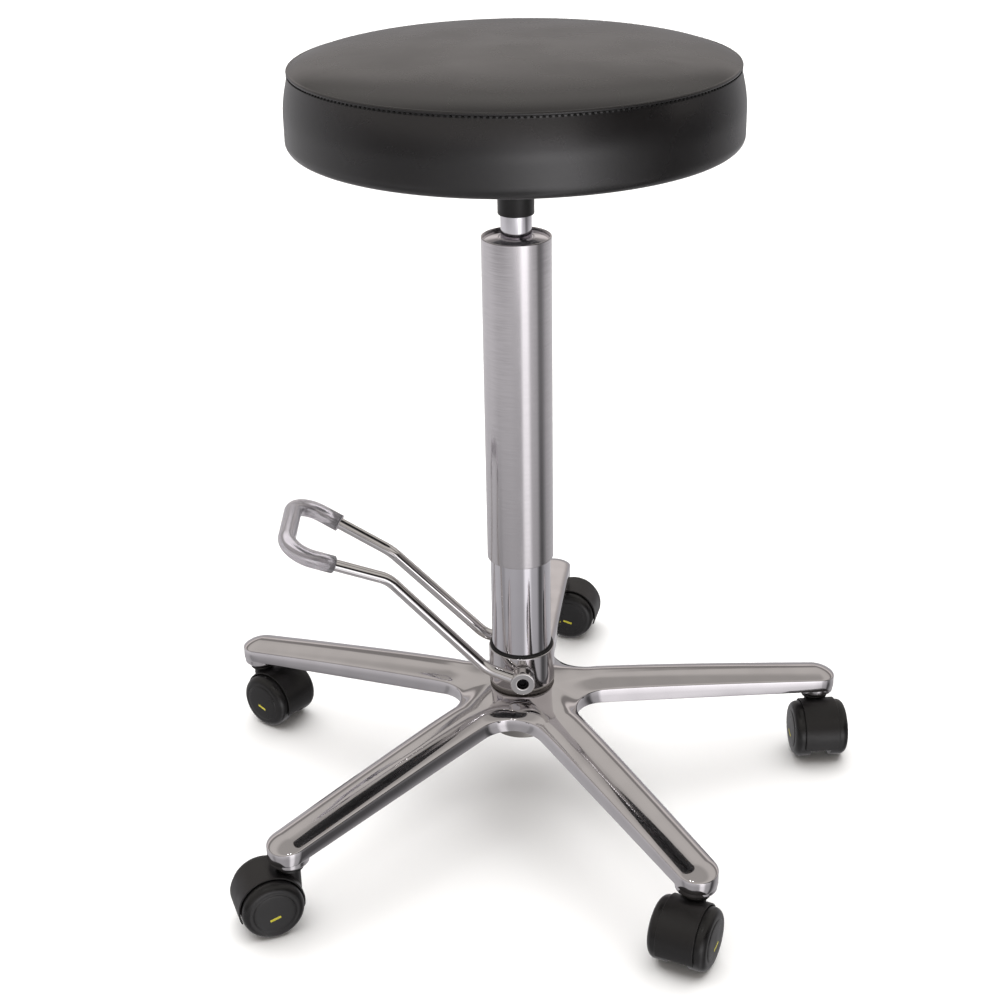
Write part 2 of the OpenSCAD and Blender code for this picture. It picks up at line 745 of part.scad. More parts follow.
// The part of the lever's path that lies under the sleeve
function sleeve_path() =
    let (p = lever_path(), skip = 2 * (bend_steps + 1) + 1) [for (k = [skip : len(p) - 1 - skip]) p[k]];
function path_rings(path, all, r) =
    [for (k = [0 : len(path) - 1]) ring_at(path[k], heading(all, k + (len(all) - len(path)) / 2),
        lever_flat, r, bar_sides)];

module lever_bar() color([0.75, 0.75, 0.75]) difference() {
    union() {
        rotate(lever_turn) skin(path_rings(lever_path(), lever_path(), bar_r));
        for (side = SIDES) rotate(side) cross_drum(eye_r, eye_in, eye_out);
    }
    for (side = SIDES) rotate(side) {
        cross_drum(shaft_r, 0, shaft_end);
        cross_drum(screw_shank_r + run, 0, eye_out);
        cross_drum(screw_head_r + run, screw_seat, eye_out + cut);
    }
}

module lever_sleeve() color([0.7, 0.72, 0.72, 0.6]) {
    outer = path_rings(sleeve_path(), lever_path(), bar_r + sleeve_wall);
    inner = path_rings(sleeve_path(), lever_path(), bar_r + sleeve_gap);
    rotate(lever_turn) skin(concat(outer, reversed(inner)), hoop = true);
}

// Shaft across the collar, with the finger that lifts the tappet on the side away from the pedal
module cross_shaft() color([0.6, 0.6, 0.62]) difference() {
    union() {
        for (side = SIDES) rotate(side) cross_drum(shaft_r, -cut, shaft_end);
        rotate(lever_turn) translate([0, finger_w / 2, pivot_z]) rotate([90, 0, 0]) linear_extrude(finger_w) {
            translate([finger_reach, nose_rise]) circle(nose_r);
            polygon([[0, -finger_root], [finger_reach, nose_rise - nose_r],
                [finger_reach, nose_rise + nose_r], [0, finger_root]]);
        }
    }
    for (side = SIDES) rotate(side) cross_drum(screw_shank_r, shaft_end - screw_shank - cut, shaft_end + cut);
}

module lever_screws() color([0.25, 0.25, 0.25]) for (side = SIDES) rotate(side) difference() {
    union() {
        cross_drum(screw_head_r, screw_seat, screw_face);
        cross_drum(screw_shank_r, shaft_end - screw_shank, screw_seat + cut);
    }
    rotate(lever_turn) translate([0, -screw_face - cut, pivot_z]) rotate([-90, 0, 0])
        cylinder(r = screw_hex_r, h = screw_hex_depth + cut, $fn = 6);
}

// Release
module release_tappet() color([0.5, 0.5, 0.5]) drum(tappet_r, tappet_z, tappet_top);

module release_pin() color([0.8, 0.8, 0.8]) drum(pin_r, tappet_top, cylinder_z + pin_len - pin_travel);

spring_path = [for (k = [0 : spring_turns * spring_steps]) let (a = 360 * k / spring_steps)
    [spring_r * cos(a), spring_r * sin(a),
        tappet_top + wire_d / 2 + spring_seat + spring_pitch * k / spring_steps]];
echo(return_spring_gap = min([for (k = [spring_steps : len(spring_path) - 1])
    norm(spring_path[k] - spring_path[k - spring_steps]) - wire_d]));

module return_spring() color([0.6, 0.6, 0.62])
    skin(rings_along(spring_path, [0, 0, 1], wire_d / 2, spring_sides));

// Casters, each in its own directions: the stem on the Z axis, trailing to +X
module at_caster(i) rotate(leg_angle(i)) translate([base_reach, 0, 0])
    rotate(caster_turn[i - 1] - leg_angle(i)) children();

// Cylinder along the axle, from a to b
module axle_drum(r, a, b) translate([trail, 0, wheel_r]) rotate([90, 0, 0]) drum(r, -b, -a);

// Shape of the hood about the axle, with its side edges broken
module hood_disc() translate([trail, 0, wheel_r]) rotate([90, 0, 0]) rotate_extrude() polygon(
    [[0, -hood_half], [hood_r - hood_edge, -hood_half], [hood_r, hood_edge - hood_half],
        [hood_r, hood_half - hood_edge], [hood_r - hood_edge, hood_half], [0, hood_half]]);

// Wedge about the axle that the hood covers
module hood_wedge() translate([trail, wheel_out, wheel_r]) rotate([90, 0, 0]) linear_extrude(2 * wheel_out)
    polygon(concat([[0, 0]], arc([0, 0], 2 * hood_r, lip_angle, front_angle, 12)));

module caster_hood(i) color([0.06, 0.06, 0.06]) at_caster(i) difference() {
    union() {
        intersection() {
            hood_disc();
            hood_wedge();
        }
        translate([trail, hood_half, wheel_r]) rotate([90, 0, 0]) linear_extrude(2 * hood_half)
            for (a = [lip_angle, front_angle]) rotate(a) translate([hood_r - lip_r, 0]) circle(lip_r);
        drum(stem_boss_r, wheel_r, neck_top);
    }
    for (side = [0, 1]) mirror([0, side, 0]) axle_drum(hood_cut, stem_boss_r, wheel_out);
    difference() {
        axle_drum(hood_cut, -stem_boss_r - cut, stem_boss_r + cut);
        intersection() {
            axle_drum(hood_cut + cut, -web_half, web_half);
            translate([trail - hood_r, -stem_boss_r, web_low]) cube(2 * hood_r);
        }
        axle_drum(axle_boss_r, -stem_boss_r, stem_boss_r);
        drum(stem_boss_r, web_low, neck_top);
    }
    drum(stem_r + run, stem_low - run, neck_top + cut);
    axle_drum(axle_r, -stem_boss_r - cut, stem_boss_r + cut);
}

module caster_axle(i) color([0.6, 0.6, 0.62]) at_caster(i) axle_drum(axle_r, -axle_half, axle_half);

// Wheel: rounded rim round a raised disc outside, dished inside, hub with a blind bore
module wheel() rotate([-90, 0, 0]) rotate_extrude() polygon(concat([
    [axle_r + run, wheel_in], [axle_boss_r, wheel_in], [axle_boss_r, wheel_in + dish],
    [wheel_r - rim_t, wheel_in + dish], [wheel_r - rim_t + rim_edge, wheel_in],
    [wheel_r - rim_edge, wheel_in], [wheel_r, wheel_in + rim_edge]],
    arc([wheel_r - shoulder, wheel_out - shoulder], shoulder, 0, 90, 6),
    [[face_r + face_step, wheel_out], [face_r, wheel_out + face_step],
    [0, wheel_out + face_step + face_dome], [0, axle_half + slack], [axle_r + run, axle_half + slack]]));

module left_wheel(i) color([0.05, 0.05, 0.05]) at_caster(i) translate([trail, 0, wheel_r]) wheel();

module right_wheel(i) color([0.05, 0.05, 0.05])
    at_caster(i) translate([trail, 0, wheel_r]) rotate(180) wheel();

star_base();
hub_bolt();
hub_washer();
caster_stems();
stem_rings();
lever_collar();
pivot_bushes();
seal_ring();
lower_tube();
tube_guide();
cylinder_seat();
gas_cylinder();
cylinder_gland();
piston_rod();
piston();
thrust_washer();
rod_clip();
cover_tube();
cover_guide();
cover_cap();
neck_tube();
seat_socket();
seat_plate();
plate_screws();
dust_cover();
seat_board();
cushion();
lever_bar();
lever_sleeve();
cross_shaft();
lever_screws();
release_tappet();
release_pin();
return_spring();
for (i = CASTERS) {
    caster_hood(i);
    caster_axle(i);
    left_wheel(i);
    right_wheel(i);
}
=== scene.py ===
"""Dentist stool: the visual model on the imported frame, with its finishes, floor, light and camera."""

import logging
from collections.abc import Callable, Sequence
from dataclasses import dataclass
from enum import Enum
from math import atan2, cos, exp, hypot, pi, radians, sin, sqrt, tau

import bmesh
import bpy
from mathutils import Matrix, Vector, noise
from mathutils.bvhtree import BVHTree


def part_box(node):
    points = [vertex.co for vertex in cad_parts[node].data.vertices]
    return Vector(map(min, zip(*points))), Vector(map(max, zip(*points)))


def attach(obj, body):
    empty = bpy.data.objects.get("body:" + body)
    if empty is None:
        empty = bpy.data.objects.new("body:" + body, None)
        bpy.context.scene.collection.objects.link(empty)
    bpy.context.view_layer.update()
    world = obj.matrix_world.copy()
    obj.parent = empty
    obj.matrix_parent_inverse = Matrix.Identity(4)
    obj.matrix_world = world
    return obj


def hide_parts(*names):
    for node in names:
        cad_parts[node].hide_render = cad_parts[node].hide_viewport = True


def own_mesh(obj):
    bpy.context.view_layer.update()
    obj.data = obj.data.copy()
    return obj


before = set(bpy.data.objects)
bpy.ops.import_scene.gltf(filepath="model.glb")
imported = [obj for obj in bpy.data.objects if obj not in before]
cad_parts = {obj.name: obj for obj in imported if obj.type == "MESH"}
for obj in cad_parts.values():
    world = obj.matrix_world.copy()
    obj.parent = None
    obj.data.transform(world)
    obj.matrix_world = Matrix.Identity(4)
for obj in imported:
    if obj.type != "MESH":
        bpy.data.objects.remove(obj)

Tree = bpy.types.NodeTree
Socket = bpy.types.NodeSocket
Inputs = dict[str | int, object]
Mesh = bpy.types.Mesh
Spot = tuple[float, float, float]
Profile = list[tuple[float, float]]
Radius = float | Callable[[float], float]
Stops = Sequence[tuple[float, float]]

LOG = logging.getLogger("dentist_stool")
MM = 0.001
UNMOVED = Matrix.Identity(4)
# Where the values of one noise, and of two multiplied, mostly lie
ONE_NOISE = (0.3, 0.7)
TWO_NOISES = (0.12, 0.42)
# A wave texture runs through this many radians for each unit of its scale
WAVE_RADIANS = 20.0
# Colour of the studio's light from its walls and from its ceiling
COOL = (1.0, 0.98, 1.0)
WARM = (1.0, 0.955, 0.9)


def linear(code: str) -> tuple[float, float, float, float]:
    """Turn an sRGB hex value into a linear colour.

    Args:
        code: the colour as "#rrggbb".

    Returns:
        Linear red, green, blue and a full alpha.
    """
    parts = [int(code[k:k + 2], 16) / 255 for k in (1, 3, 5)]
    red, green, blue = (c / 12.92 if c <= 0.04045 else ((c + 0.055) / 1.055) ** 2.4 for c in parts)
    return red, green, blue, 1.0


def per_mm(size: float) -> float:
    """Scale of a pattern on Object coordinates whose features are size millimetres wide."""
    return 1 / (size * MM)


def add(tree: Tree, kind: str, links: Inputs | None = None, **settings: object) -> bpy.types.Node:
    """Add a node with its settings, values and links.

    Args:
        tree: the tree that gets the node.
        kind: the node's type name.
        links: for each input, by name or number, the socket to link from or the value to set.
        settings: the node's own properties.

    Returns:
        The new node.
    """
    node = tree.nodes.new(kind)
    for name, value in settings.items():
        setattr(node, name, value)
    for key, value in (links or {}).items():
        if isinstance(value, Socket):
            tree.links.new(value, node.inputs[key])
        else:
            node.inputs[key].default_value = value
    return node


@dataclass(frozen=True)
class Finish:
    """A surface finish that is made into a material once and shared."""

    title: str
    slot: str
    colour: str
    shade: str
    shine: float
    dull: float

    def sockets(self, tree: Tree) -> Inputs:
        """Values and links for the shader's inputs."""
        raise NotImplementedError

    def coat(self, tree: Tree, tone: Socket, wear: Socket, band: tuple[float, float] = ONE_NOISE) -> Inputs:
        """Colour and roughness that follow patterns.

        Args:
            tree: the material's tree.
            tone: pattern that takes the colour to the shade.
            wear: pattern that takes the roughness from shine to dull, where they differ.
            band: the values of wear at shine and at dull.

        Returns:
            The two inputs of the shader.
        """
        tint = add(tree, "ShaderNodeMix", {0: tone, 6: linear(self.colour), 7: linear(self.shade)},
                   data_type="RGBA").outputs[2]
        rough: object = self.dull
        if self.shine < self.dull:
            rough = add(tree, "ShaderNodeMapRange", {
                "Value": wear, "From Min": band[0], "From Max": band[1],
                "To Min": self.shine, "To Max": self.dull}).outputs[0]
        return {"Base Color": tint, "Roughness": rough}

    def material(self) -> bpy.types.Material:
        """Build the material, or find it if it was built before.

        Returns:
            The material of this finish.
        """
        found = bpy.data.materials.get(self.title)
        if found:
            return found
        material = bpy.data.materials.new(self.title)
        material.use_nodes = True
        tree = material.node_tree
        tree.nodes.clear()
        shader = add(tree, "ShaderNodeBsdfPrincipled", self.sockets(tree))
        add(tree, "ShaderNodeOutputMaterial", {"Surface": shader.outputs[0]})
        return material


@dataclass(frozen=True)
class BrightMetal(Finish):
    """Metal that was ground and buffed: clear reflections, with faint marks along the polishing stroke."""

    # Real marks are a few hundredths of a millimetre wide; they are drawn wider so that they show
    mark_mm: float = 0.8
    stroke: Spot = (1.0, 1.0, 0.06)
    mark_depth_mm: float = 0.0015
    wave_mm: float = 26.0
    wave_depth_mm: float = 0.05

    def sockets(self, tree: Tree) -> Inputs:
        """Values and links for the shader's inputs.

        Args:
            tree: the material's tree.

        Returns:
            The inputs of the shader.
        """
        place = add(tree, "ShaderNodeTexCoord").outputs["Object"]
        drawn = add(tree, "ShaderNodeMapping", {"Vector": place, "Scale": self.stroke}).outputs[0]
        marks = add(tree, "ShaderNodeTexNoise",
                    {"Vector": drawn, "Scale": per_mm(self.mark_mm), "Detail": 2.0}).outputs[0]
        waves = add(tree, "ShaderNodeTexNoise",
                    {"Vector": place, "Scale": per_mm(self.wave_mm), "Detail": 1.0}).outputs[0]
        worn = add(tree, "ShaderNodeMath", {0: marks, 1: waves}, operation="MULTIPLY").outputs[0]
        soft = add(tree, "ShaderNodeBump", {"Height": waves, "Strength": 1.0,
                                            "Distance": self.wave_depth_mm * MM}).outputs[0]
        fine = add(tree, "ShaderNodeBump", {"Height": marks, "Strength": 1.0, "Normal": soft,
                                            "Distance": self.mark_depth_mm * MM}).outputs[0]
        return {**self.coat(tree, waves, worn, TWO_NOISES), "Metallic": 1.0, "Normal": fine}


@dataclass(frozen=True)
class Moulding(Finish):
    """Moulded plastic or rubber with the fine sparked grain of its mould and a slightly uneven sheen."""

    # Real spark grain is about 0.1 mm wide; it is drawn wider so that it shows
    grain_mm: float = 0.9
    grain_depth_mm: float = 0.02
    patch_mm: float = 14.0

    def sockets(self, tree: Tree) -> Inputs:
        """Values and links for the shader's inputs.

        Args:
            tree: the material's tree.

        Returns:
            The inputs of the shader.
        """
        place = add(tree, "ShaderNodeTexCoord").outputs["Object"]
        grain = add(tree, "ShaderNodeTexNoise",
                    {"Vector": place, "Scale": per_mm(self.grain_mm), "Detail": 2.0}).outputs[0]
        patch = add(tree, "ShaderNodeTexNoise",
                    {"Vector": place, "Scale": per_mm(self.patch_mm), "Detail": 3.0}).outputs[0]
        relief = add(tree, "ShaderNodeBump", {"Height": grain, "Strength": 1.0,
                                              "Distance": self.grain_depth_mm * MM}).outputs[0]
        return {**self.coat(tree, patch, patch), "Normal": relief, "IOR": 1.5}


@dataclass(frozen=True)
class BrushedTube(Finish):
    """Stainless tube ground on a belt: fine rings round it, so that reflections keep to soft upright bands."""

    # The belt's own lines are about 0.1 mm apart; they are drawn wider so that they show
    line_mm: float = 0.7
    line_depth_mm: float = 0.01
    line_strength: float = 0.05
    stretch: Spot = (0.04, 0.04, 1.0)
    cloud_mm: float = 45.0

    def sockets(self, tree: Tree) -> Inputs:
        """Values and links for the shader's inputs.

        Args:
            tree: the material's tree.

        Returns:
            The inputs of the shader.
        """
        place = add(tree, "ShaderNodeTexCoord").outputs["Object"]
        rings = add(tree, "ShaderNodeMapping", {"Vector": place, "Scale": self.stretch}).outputs[0]
        lines = add(tree, "ShaderNodeTexNoise",
                    {"Vector": rings, "Scale": per_mm(self.line_mm), "Detail": 3.0}).outputs[0]
        cloud = add(tree, "ShaderNodeTexNoise",
                    {"Vector": place, "Scale": per_mm(self.cloud_mm), "Detail": 2.0}).outputs[0]
        mixed = add(tree, "ShaderNodeMath", {0: lines, 1: cloud}, operation="MULTIPLY").outputs[0]
        relief = add(tree, "ShaderNodeBump", {"Height": lines, "Strength": self.line_strength,
                                              "Distance": self.line_depth_mm * MM}).outputs[0]
        return {**self.coat(tree, lines, mixed, TWO_NOISES), "Metallic": 1.0, "Normal": relief}


@dataclass(frozen=True)
class Vinyl(Finish):
    """Coated upholstery cloth: soft satin skin with a pebbled leather grain and a faint cloudiness."""

    # Real pebbles are about 0.6 mm across; they are drawn wider so that they show
    pebble_mm: float = 1.3
    pebble_depth_mm: float = 0.05
    cloud_mm: float = 55.0

    def sockets(self, tree: Tree) -> Inputs:
        """Values and links for the shader's inputs.

        Args:
            tree: the material's tree.

        Returns:
            The inputs of the shader.
        """
        place = add(tree, "ShaderNodeTexCoord").outputs["Object"]
        pebble = add(tree, "ShaderNodeTexVoronoi",
                     {"Vector": place, "Scale": per_mm(self.pebble_mm), "Randomness": 0.9},
                     feature="SMOOTH_F1").outputs["Distance"]
        cloud = add(tree, "ShaderNodeTexNoise",
                    {"Vector": place, "Scale": per_mm(self.cloud_mm), "Detail": 4.0}).outputs[0]
        relief = add(tree, "ShaderNodeBump", {"Height": pebble, "Strength": 0.5,
                                              "Distance": self.pebble_depth_mm * MM}).outputs[0]
        return {**self.coat(tree, cloud, cloud), "Normal": relief, "IOR": 1.5, "Specular IOR Level": 0.7}


@dataclass(frozen=True)
class ClearHose(Finish):
    """Extruded clear PVC gone slightly milky: the bar shows through it, with soft lights along its length."""

    cloud_mm: float = 30.0

    def sockets(self, tree: Tree) -> Inputs:
        """Values and links for the shader's inputs.

        Args:
            tree: the material's tree.

        Returns:
            The inputs of the shader.
        """
        place = add(tree, "ShaderNodeTexCoord").outputs["Object"]
        cloud = add(tree, "ShaderNodeTexNoise",
                    {"Vector": place, "Scale": per_mm(self.cloud_mm), "Detail": 3.0}).outputs[0]
        return {**self.coat(tree, cloud, cloud), "IOR": 1.53, "Transmission Weight": 0.74,
                "Coat Weight": 0.8, "Coat Roughness": 0.03}


@dataclass(frozen=True)
class Ply(Finish):
    """Birch plywood: thin pale and brown layers at its edge, long grain on its faces."""

    layer_mm: float = 1.6
    grain_mm: float = 2.5
    grain_depth_mm: float = 0.1
    stretch: Spot = (0.05, 1.0, 0.4)

    def sockets(self, tree: Tree) -> Inputs:
        """Values and links for the shader's inputs.

        Args:
            tree: the material's tree.

        Returns:
            The inputs of the shader.
        """
        place = add(tree, "ShaderNodeTexCoord").outputs["Object"]
        flat = add(tree, "ShaderNodeMapping", {"Vector": place, "Scale": self.stretch}).outputs[0]
        grain = add(tree, "ShaderNodeTexNoise",
                    {"Vector": flat, "Scale": per_mm(self.grain_mm), "Detail": 4.0}).outputs[0]
        layer = add(tree, "ShaderNodeTexWave",
                    {"Vector": place, "Scale": per_mm(self.layer_mm) * tau / WAVE_RADIANS, "Distortion": 0.3},
                    bands_direction="Z").outputs["Fac"]
        mixed = add(tree, "ShaderNodeMath", {0: grain, 1: layer}, operation="MULTIPLY").outputs[0]
        relief = add(tree, "ShaderNodeBump", {"Height": grain, "Strength": 0.4,
                                              "Distance": self.grain_depth_mm * MM}).outputs[0]
        return {**self.coat(tree, mixed, mixed), "Normal": relief}


@dataclass(frozen=True)
class Weave(Finish):
    """Black plain-woven dust cloth: crossing threads with a dry, dull face."""

    # Real threads are about 0.5 mm apart; they are drawn wider so that they show
    thread_mm: float = 2.4
    thread_depth_mm: float = 0.2

    def sockets(self, tree: Tree) -> Inputs:
        """Values and links for the shader's inputs.

        Args:
            tree: the material's tree.

        Returns:
            The inputs of the shader.
        """
        place = add(tree, "ShaderNodeTexCoord").outputs["Object"]
        scale = per_mm(self.thread_mm) * tau / WAVE_RADIANS
        warp, weft = (add(tree, "ShaderNodeTexWave", {"Vector": place, "Scale": scale, "Distortion": 0.6},
                          bands_direction=way).outputs["Fac"] for way in ("X", "Y"))
        cloth = add(tree, "ShaderNodeMath", {0: warp, 1: weft}, operation="MULTIPLY").outputs[0]
        relief = add(tree, "ShaderNodeBump", {"Height": cloth, "Strength": 0.8,
                                              "Distance": self.thread_depth_mm * MM}).outputs[0]
        return {**self.coat(tree, cloth, cloth), "Normal": relief, "Sheen Weight": 0.15}


class Finishes(Enum):
    """Every finish on the stool: name, slot, colour, its shade, and roughness where bright and where dull."""

    # Die-cast aluminium, buffed to a mirror: long clear reflections that wander a little
    ALUMINIUM = BrightMetal("buffed_cast_aluminium", "polished_aluminium", "#dddadc", "#cecbcd", 0.05, 0.12,
                            stroke=(1.0, 1.0, 0.3), mark_depth_mm=0.0005, wave_depth_mm=0.10)
    # The casting's own skin where the buffing wheel can't reach: grey and dull, and darker than the buffed metal as
    # painted shade for the gap under the collar
    AS_CAST_WITH_GAP_SHADE = BrightMetal("cast_skin_painted_gap_shade", "polished_aluminium", "#a5a29e", "#8b8884", 0.3, 0.45)
    # Drawn tube under bright chrome: a nearly black and white picture of the room
    CHROME = BrightMetal("chromed_steel_tube", "chromed_steel", "#e4e2e6", "#d8d6db", 0.05, 0.12)
    # Bent bar under nickel: bright, with thin dark lines along it
    LEVER = BrightMetal("plated_steel_bar", "lever_steel", "#e0dede", "#d0cece", 0.03, 0.06, wave_mm=12.0,
                        wave_depth_mm=0.02)
    # Machined and zinc-plated steel: pale grey with a dull bluish sheen
    ZINC = BrightMetal("zinc_plated_steel", "zinc_steel", "#b9bcc2", "#9ea2a8", 0.28, 0.42)
    # Black-oxide screw: nearly black with an oily gleam; its dark head is also painted shade for the recess in the
    # eye
    BLACKED_WITH_RECESS_SHADE = BrightMetal("black_screw_painted_recess_shade", "black_steel", "#232223", "#171617", 0.3, 0.45)
    # Sintered bronze: brown-gold, open and dull
    BRONZE = BrightMetal("sintered_bronze", "bearing_bronze", "#a67c42", "#86622f", 0.35, 0.5)
    # Belt-ground stainless steel: soft upright bands of light
    SATIN = BrushedTube("belt_ground_stainless", "satin_steel", "#d8d5d7", "#cac7c9", 0.12, 0.22)
    # Powder-coated steel: black, with the coat's fine pimples
    BLACK_STEEL = Moulding("powder_coated_steel", "black_steel", "#141415", "#1c1c1d", 0.42, 0.55,
                           grain_mm=1.4, grain_depth_mm=0.04)
    # Glass-filled nylon: black, satin, slightly grey where it is smooth
    NYLON = Moulding("black_nylon_moulding", "black_plastic", "#0f0e0e", "#171515", 0.34, 0.46)
    # Wheel tread and disc of hard plastic: black and a little shinier than the hood
    TREAD = Moulding("black_wheel_plastic", "wheel_plastic", "#0e0d0d", "#151414", 0.26, 0.38)
    # Acetal guide bushes: milky white, waxy
    ACETAL = Moulding("white_acetal", "guide_plastic", "#e4e1d8", "#d6d2c6", 0.35, 0.5)
    # Nitrile seal: dull black
    RUBBER = Moulding("black_nitrile_rubber", "seal_rubber", "#0d0d0d", "#161616", 0.5, 0.65)
    # Bonded polyester thread, dead black and darker than the vinyl: its own black, and painted shade for the stitch
    # holes, so that the sewing reads as a dark row
    THREAD = Moulding("black_thread_painted_hole_shade", "black_vinyl", "#060606", "#0b0b0b", 0.7, 0.85,
                      grain_mm=0.4, patch_mm=3.0)
    # Pad-printed paint: thin, warm yellow
    PAINT = Moulding("yellow_wheel_paint", "wheel_plastic", "#d8cf3a", "#c6bb2c", 0.4, 0.5, patch_mm=3.0)
    # Vinyl-coated cloth: black, with a satin sheen that fades round the pad's edge
    VINYL = Vinyl("black_upholstery_vinyl", "black_vinyl", "#121111", "#181617", 0.24, 0.3)
    # Clear PVC hose: milky grey, with a wet-looking skin
    HOSE = ClearHose("clear_pvc_hose", "sleeve_pvc", "#c9c6cc", "#bdbac1", 0.18, 0.24)
    # The hose where it was sawn off: frosted
    SAWN_HOSE = Moulding("sawn_pvc_end", "sleeve_pvc", "#c9c6cc", "#bdbac1", 0.5, 0.6)
    # Birch plywood, rough-sanded: pale brown and dry
    PLY = Ply("birch_plywood", "plywood", "#cfa878", "#9c7448", 0.62, 0.62)
    # Woven polyester: black with a grey bloom on its threads
    CLOTH = Weave("black_dust_cloth", "dust_cloth", "#1b1b1c", "#39383a", 0.85, 0.85)


def turns(steps: int) -> list[float]:
    """Angles of equal steps round a circle."""
    return [tau * k / steps for k in range(steps)]


def polar(radius: float, angle: float, height: float) -> Vector:
    """Point at a radius, an angle and a height about the Z axis."""
    return Vector((radius * cos(angle), radius * sin(angle), height))


def arc(centre: tuple[float, float], radius: float, start: float, end: float, steps: int) -> Profile:
    """Points along an arc.

    Args:
        centre: the arc's centre.
        radius: its radius.
        start: angle of its first point, in degrees.
        end: angle of its last point, in degrees.
        steps: number of steps between them.

    Returns:
        The points, first to last.
    """
    angles = [radians(start + (end - start) * k / steps) for k in range(steps + 1)]
    return [(centre[0] + radius * cos(a), centre[1] + radius * sin(a)) for a in angles]


def softened(outline: Profile, radius: float, steps: int = 3) -> Profile:
    """Round the corners of a closed outline.

    Args:
        outline: the outline's corners; corners on the axis stay sharp.
        radius: reach of each rounding along the two sides, less where a side is short.
        steps: steps in each rounding.

    Returns:
        The outline with rounded corners, and a guard point beyond each end of a rounding.
    """
    side_share, guard, least = 0.35, 1.3, 0.01
    rounded: Profile = []
    for k, corner in enumerate(outline):
        here = Vector(corner)
        sides = [Vector(outline[j % len(outline)]) - here for j in (k - 1, k + 1)]
        reach = min(radius, *(side_share * side.length for side in sides))
        if abs(here.x) < least or reach < least:
            rounded.append(corner)
            continue
        start, end = (here + side.normalized() * reach for side in sides)
        curve = [start * (1 - t) ** 2 + here * 2 * t * (1 - t) + end * t ** 2
                 for t in (k / steps for k in range(steps + 1))]
        guards = [here + side.normalized() * guard * reach for side in sides]
        rounded += [(point.x, point.y) for point in (guards[0], *curve, guards[1])]
    return rounded


def block(inner: float, outer: float, low: float, high: float, soft: float, steps: int = 3) -> Profile:
    """Oblong outline with rounded corners: a ring's section, a disc's if it starts at 0, or a flat bar.

    Args:
        inner: where it starts.
        outer: where it ends.
        low: its lower side.
        high: its upper side.
        soft: reach of the rounding.
        steps: steps in each rounding.

    Returns:
        The closed outline.
    """
    return softened([(inner, low), (outer, low), (outer, high), (inner, high)], soft, steps)


class Shape:
    """A mesh in the making, in millimetres, of one or more closed shells."""

    def __init__(self) -> None:
        """Start with nothing."""
        self.work = bmesh.new()

    def ring(self, points: Sequence[Vector]) -> list[bmesh.types.BMVert]:
        """Add points and return them as a ring."""
        return [self.work.verts.new(p) for p in points]

    def skin(self, rings: Sequence[list[bmesh.types.BMVert]], hoop: bool = False, around: bool = True) -> None:
        """Join rings of equally many points by quads.

        Args:
            rings: the rings, in order.
            hoop: whether the last ring joins the first.
            around: whether each ring is closed.
        """
        for i in range(len(rings) if hoop else len(rings) - 1):
            a, b = rings[i], rings[(i + 1) % len(rings)]
            n = len(a)
            for k in range(n if around else n - 1):
                self.work.faces.new((a[k], a[(k + 1) % n], b[(k + 1) % n], b[k]))

    def lathe(self, profile: Sequence[tuple[Radius, float]], steps: int, place: Matrix = UNMOVED) -> "Shape":
        """Turn a closed profile about the Z axis.

        Args:
            profile: radius and height of each point; a radius may depend on the angle.
            steps: steps round the axis.
            place: where the turned piece goes.

        Returns:
            This shape.
        """
        rings = []
        for radius, height in profile:
            rings.append(self.ring([place @ polar(radius(a) if callable(radius) else radius, a, height)
                                    for a in turns(steps)]))
        self.skin(rings, hoop=True)
        return self

    def loft(self, sections: Sequence[Sequence[Vector]]) -> "Shape":
        """Skin over closed sections, with flat ends.

        Args:
            sections: the sections, first to last.

        Returns:
            This shape.
        """
        rings = [self.ring(section) for section in sections]
        self.skin(rings)
        self.work.faces.new(rings[0])
        self.work.faces.new(rings[-1])
        return self

    def mesh(self, name: str, crease: float = 34.0) -> Mesh:
        """Close the seams, turn the faces outwards and make the mesh.

        Args:
            name: the mesh's name.
            crease: edges sharper than this many degrees stay sharp.

        Returns:
            The mesh, in metres.
        """
        bmesh.ops.remove_doubles(self.work, verts=self.work.verts, dist=0.002)
        bmesh.ops.recalc_face_normals(self.work, faces=self.work.faces)
        bmesh.ops.scale(self.work, vec=(MM, MM, MM), verts=self.work.verts)
        mesh = bpy.data.meshes.new(name)
        self.work.to_mesh(mesh)
        self.work.free()
        return creased(mesh, crease)


def creased(mesh: Mesh, crease: float) -> Mesh:
    """Shade a mesh smooth, but for its sharp edges.

    Args:
        mesh: the mesh.
        crease: edges sharper than this many degrees stay sharp.

    Returns:
        The same mesh.
    """
    mesh.shade_smooth()
    mesh.set_sharp_from_angle(angle=radians(crease))
    return mesh


def tree_with(name: str, inputs: dict[str, str]) -> Tree:
    """Start a geometry tree.

    Args:
        name: the tree's name.
        inputs: name and socket type of each input.

    Returns:
        The tree, with one geometry output.
    """
    tree = bpy.data.node_groups.new(name, "GeometryNodeTree")
    for title, kind in inputs.items():
        tree.interface.new_socket(title, in_out="INPUT", socket_type=kind)
    tree.interface.new_socket("Result", in_out="OUTPUT", socket_type="NodeSocketGeometry")
    return tree


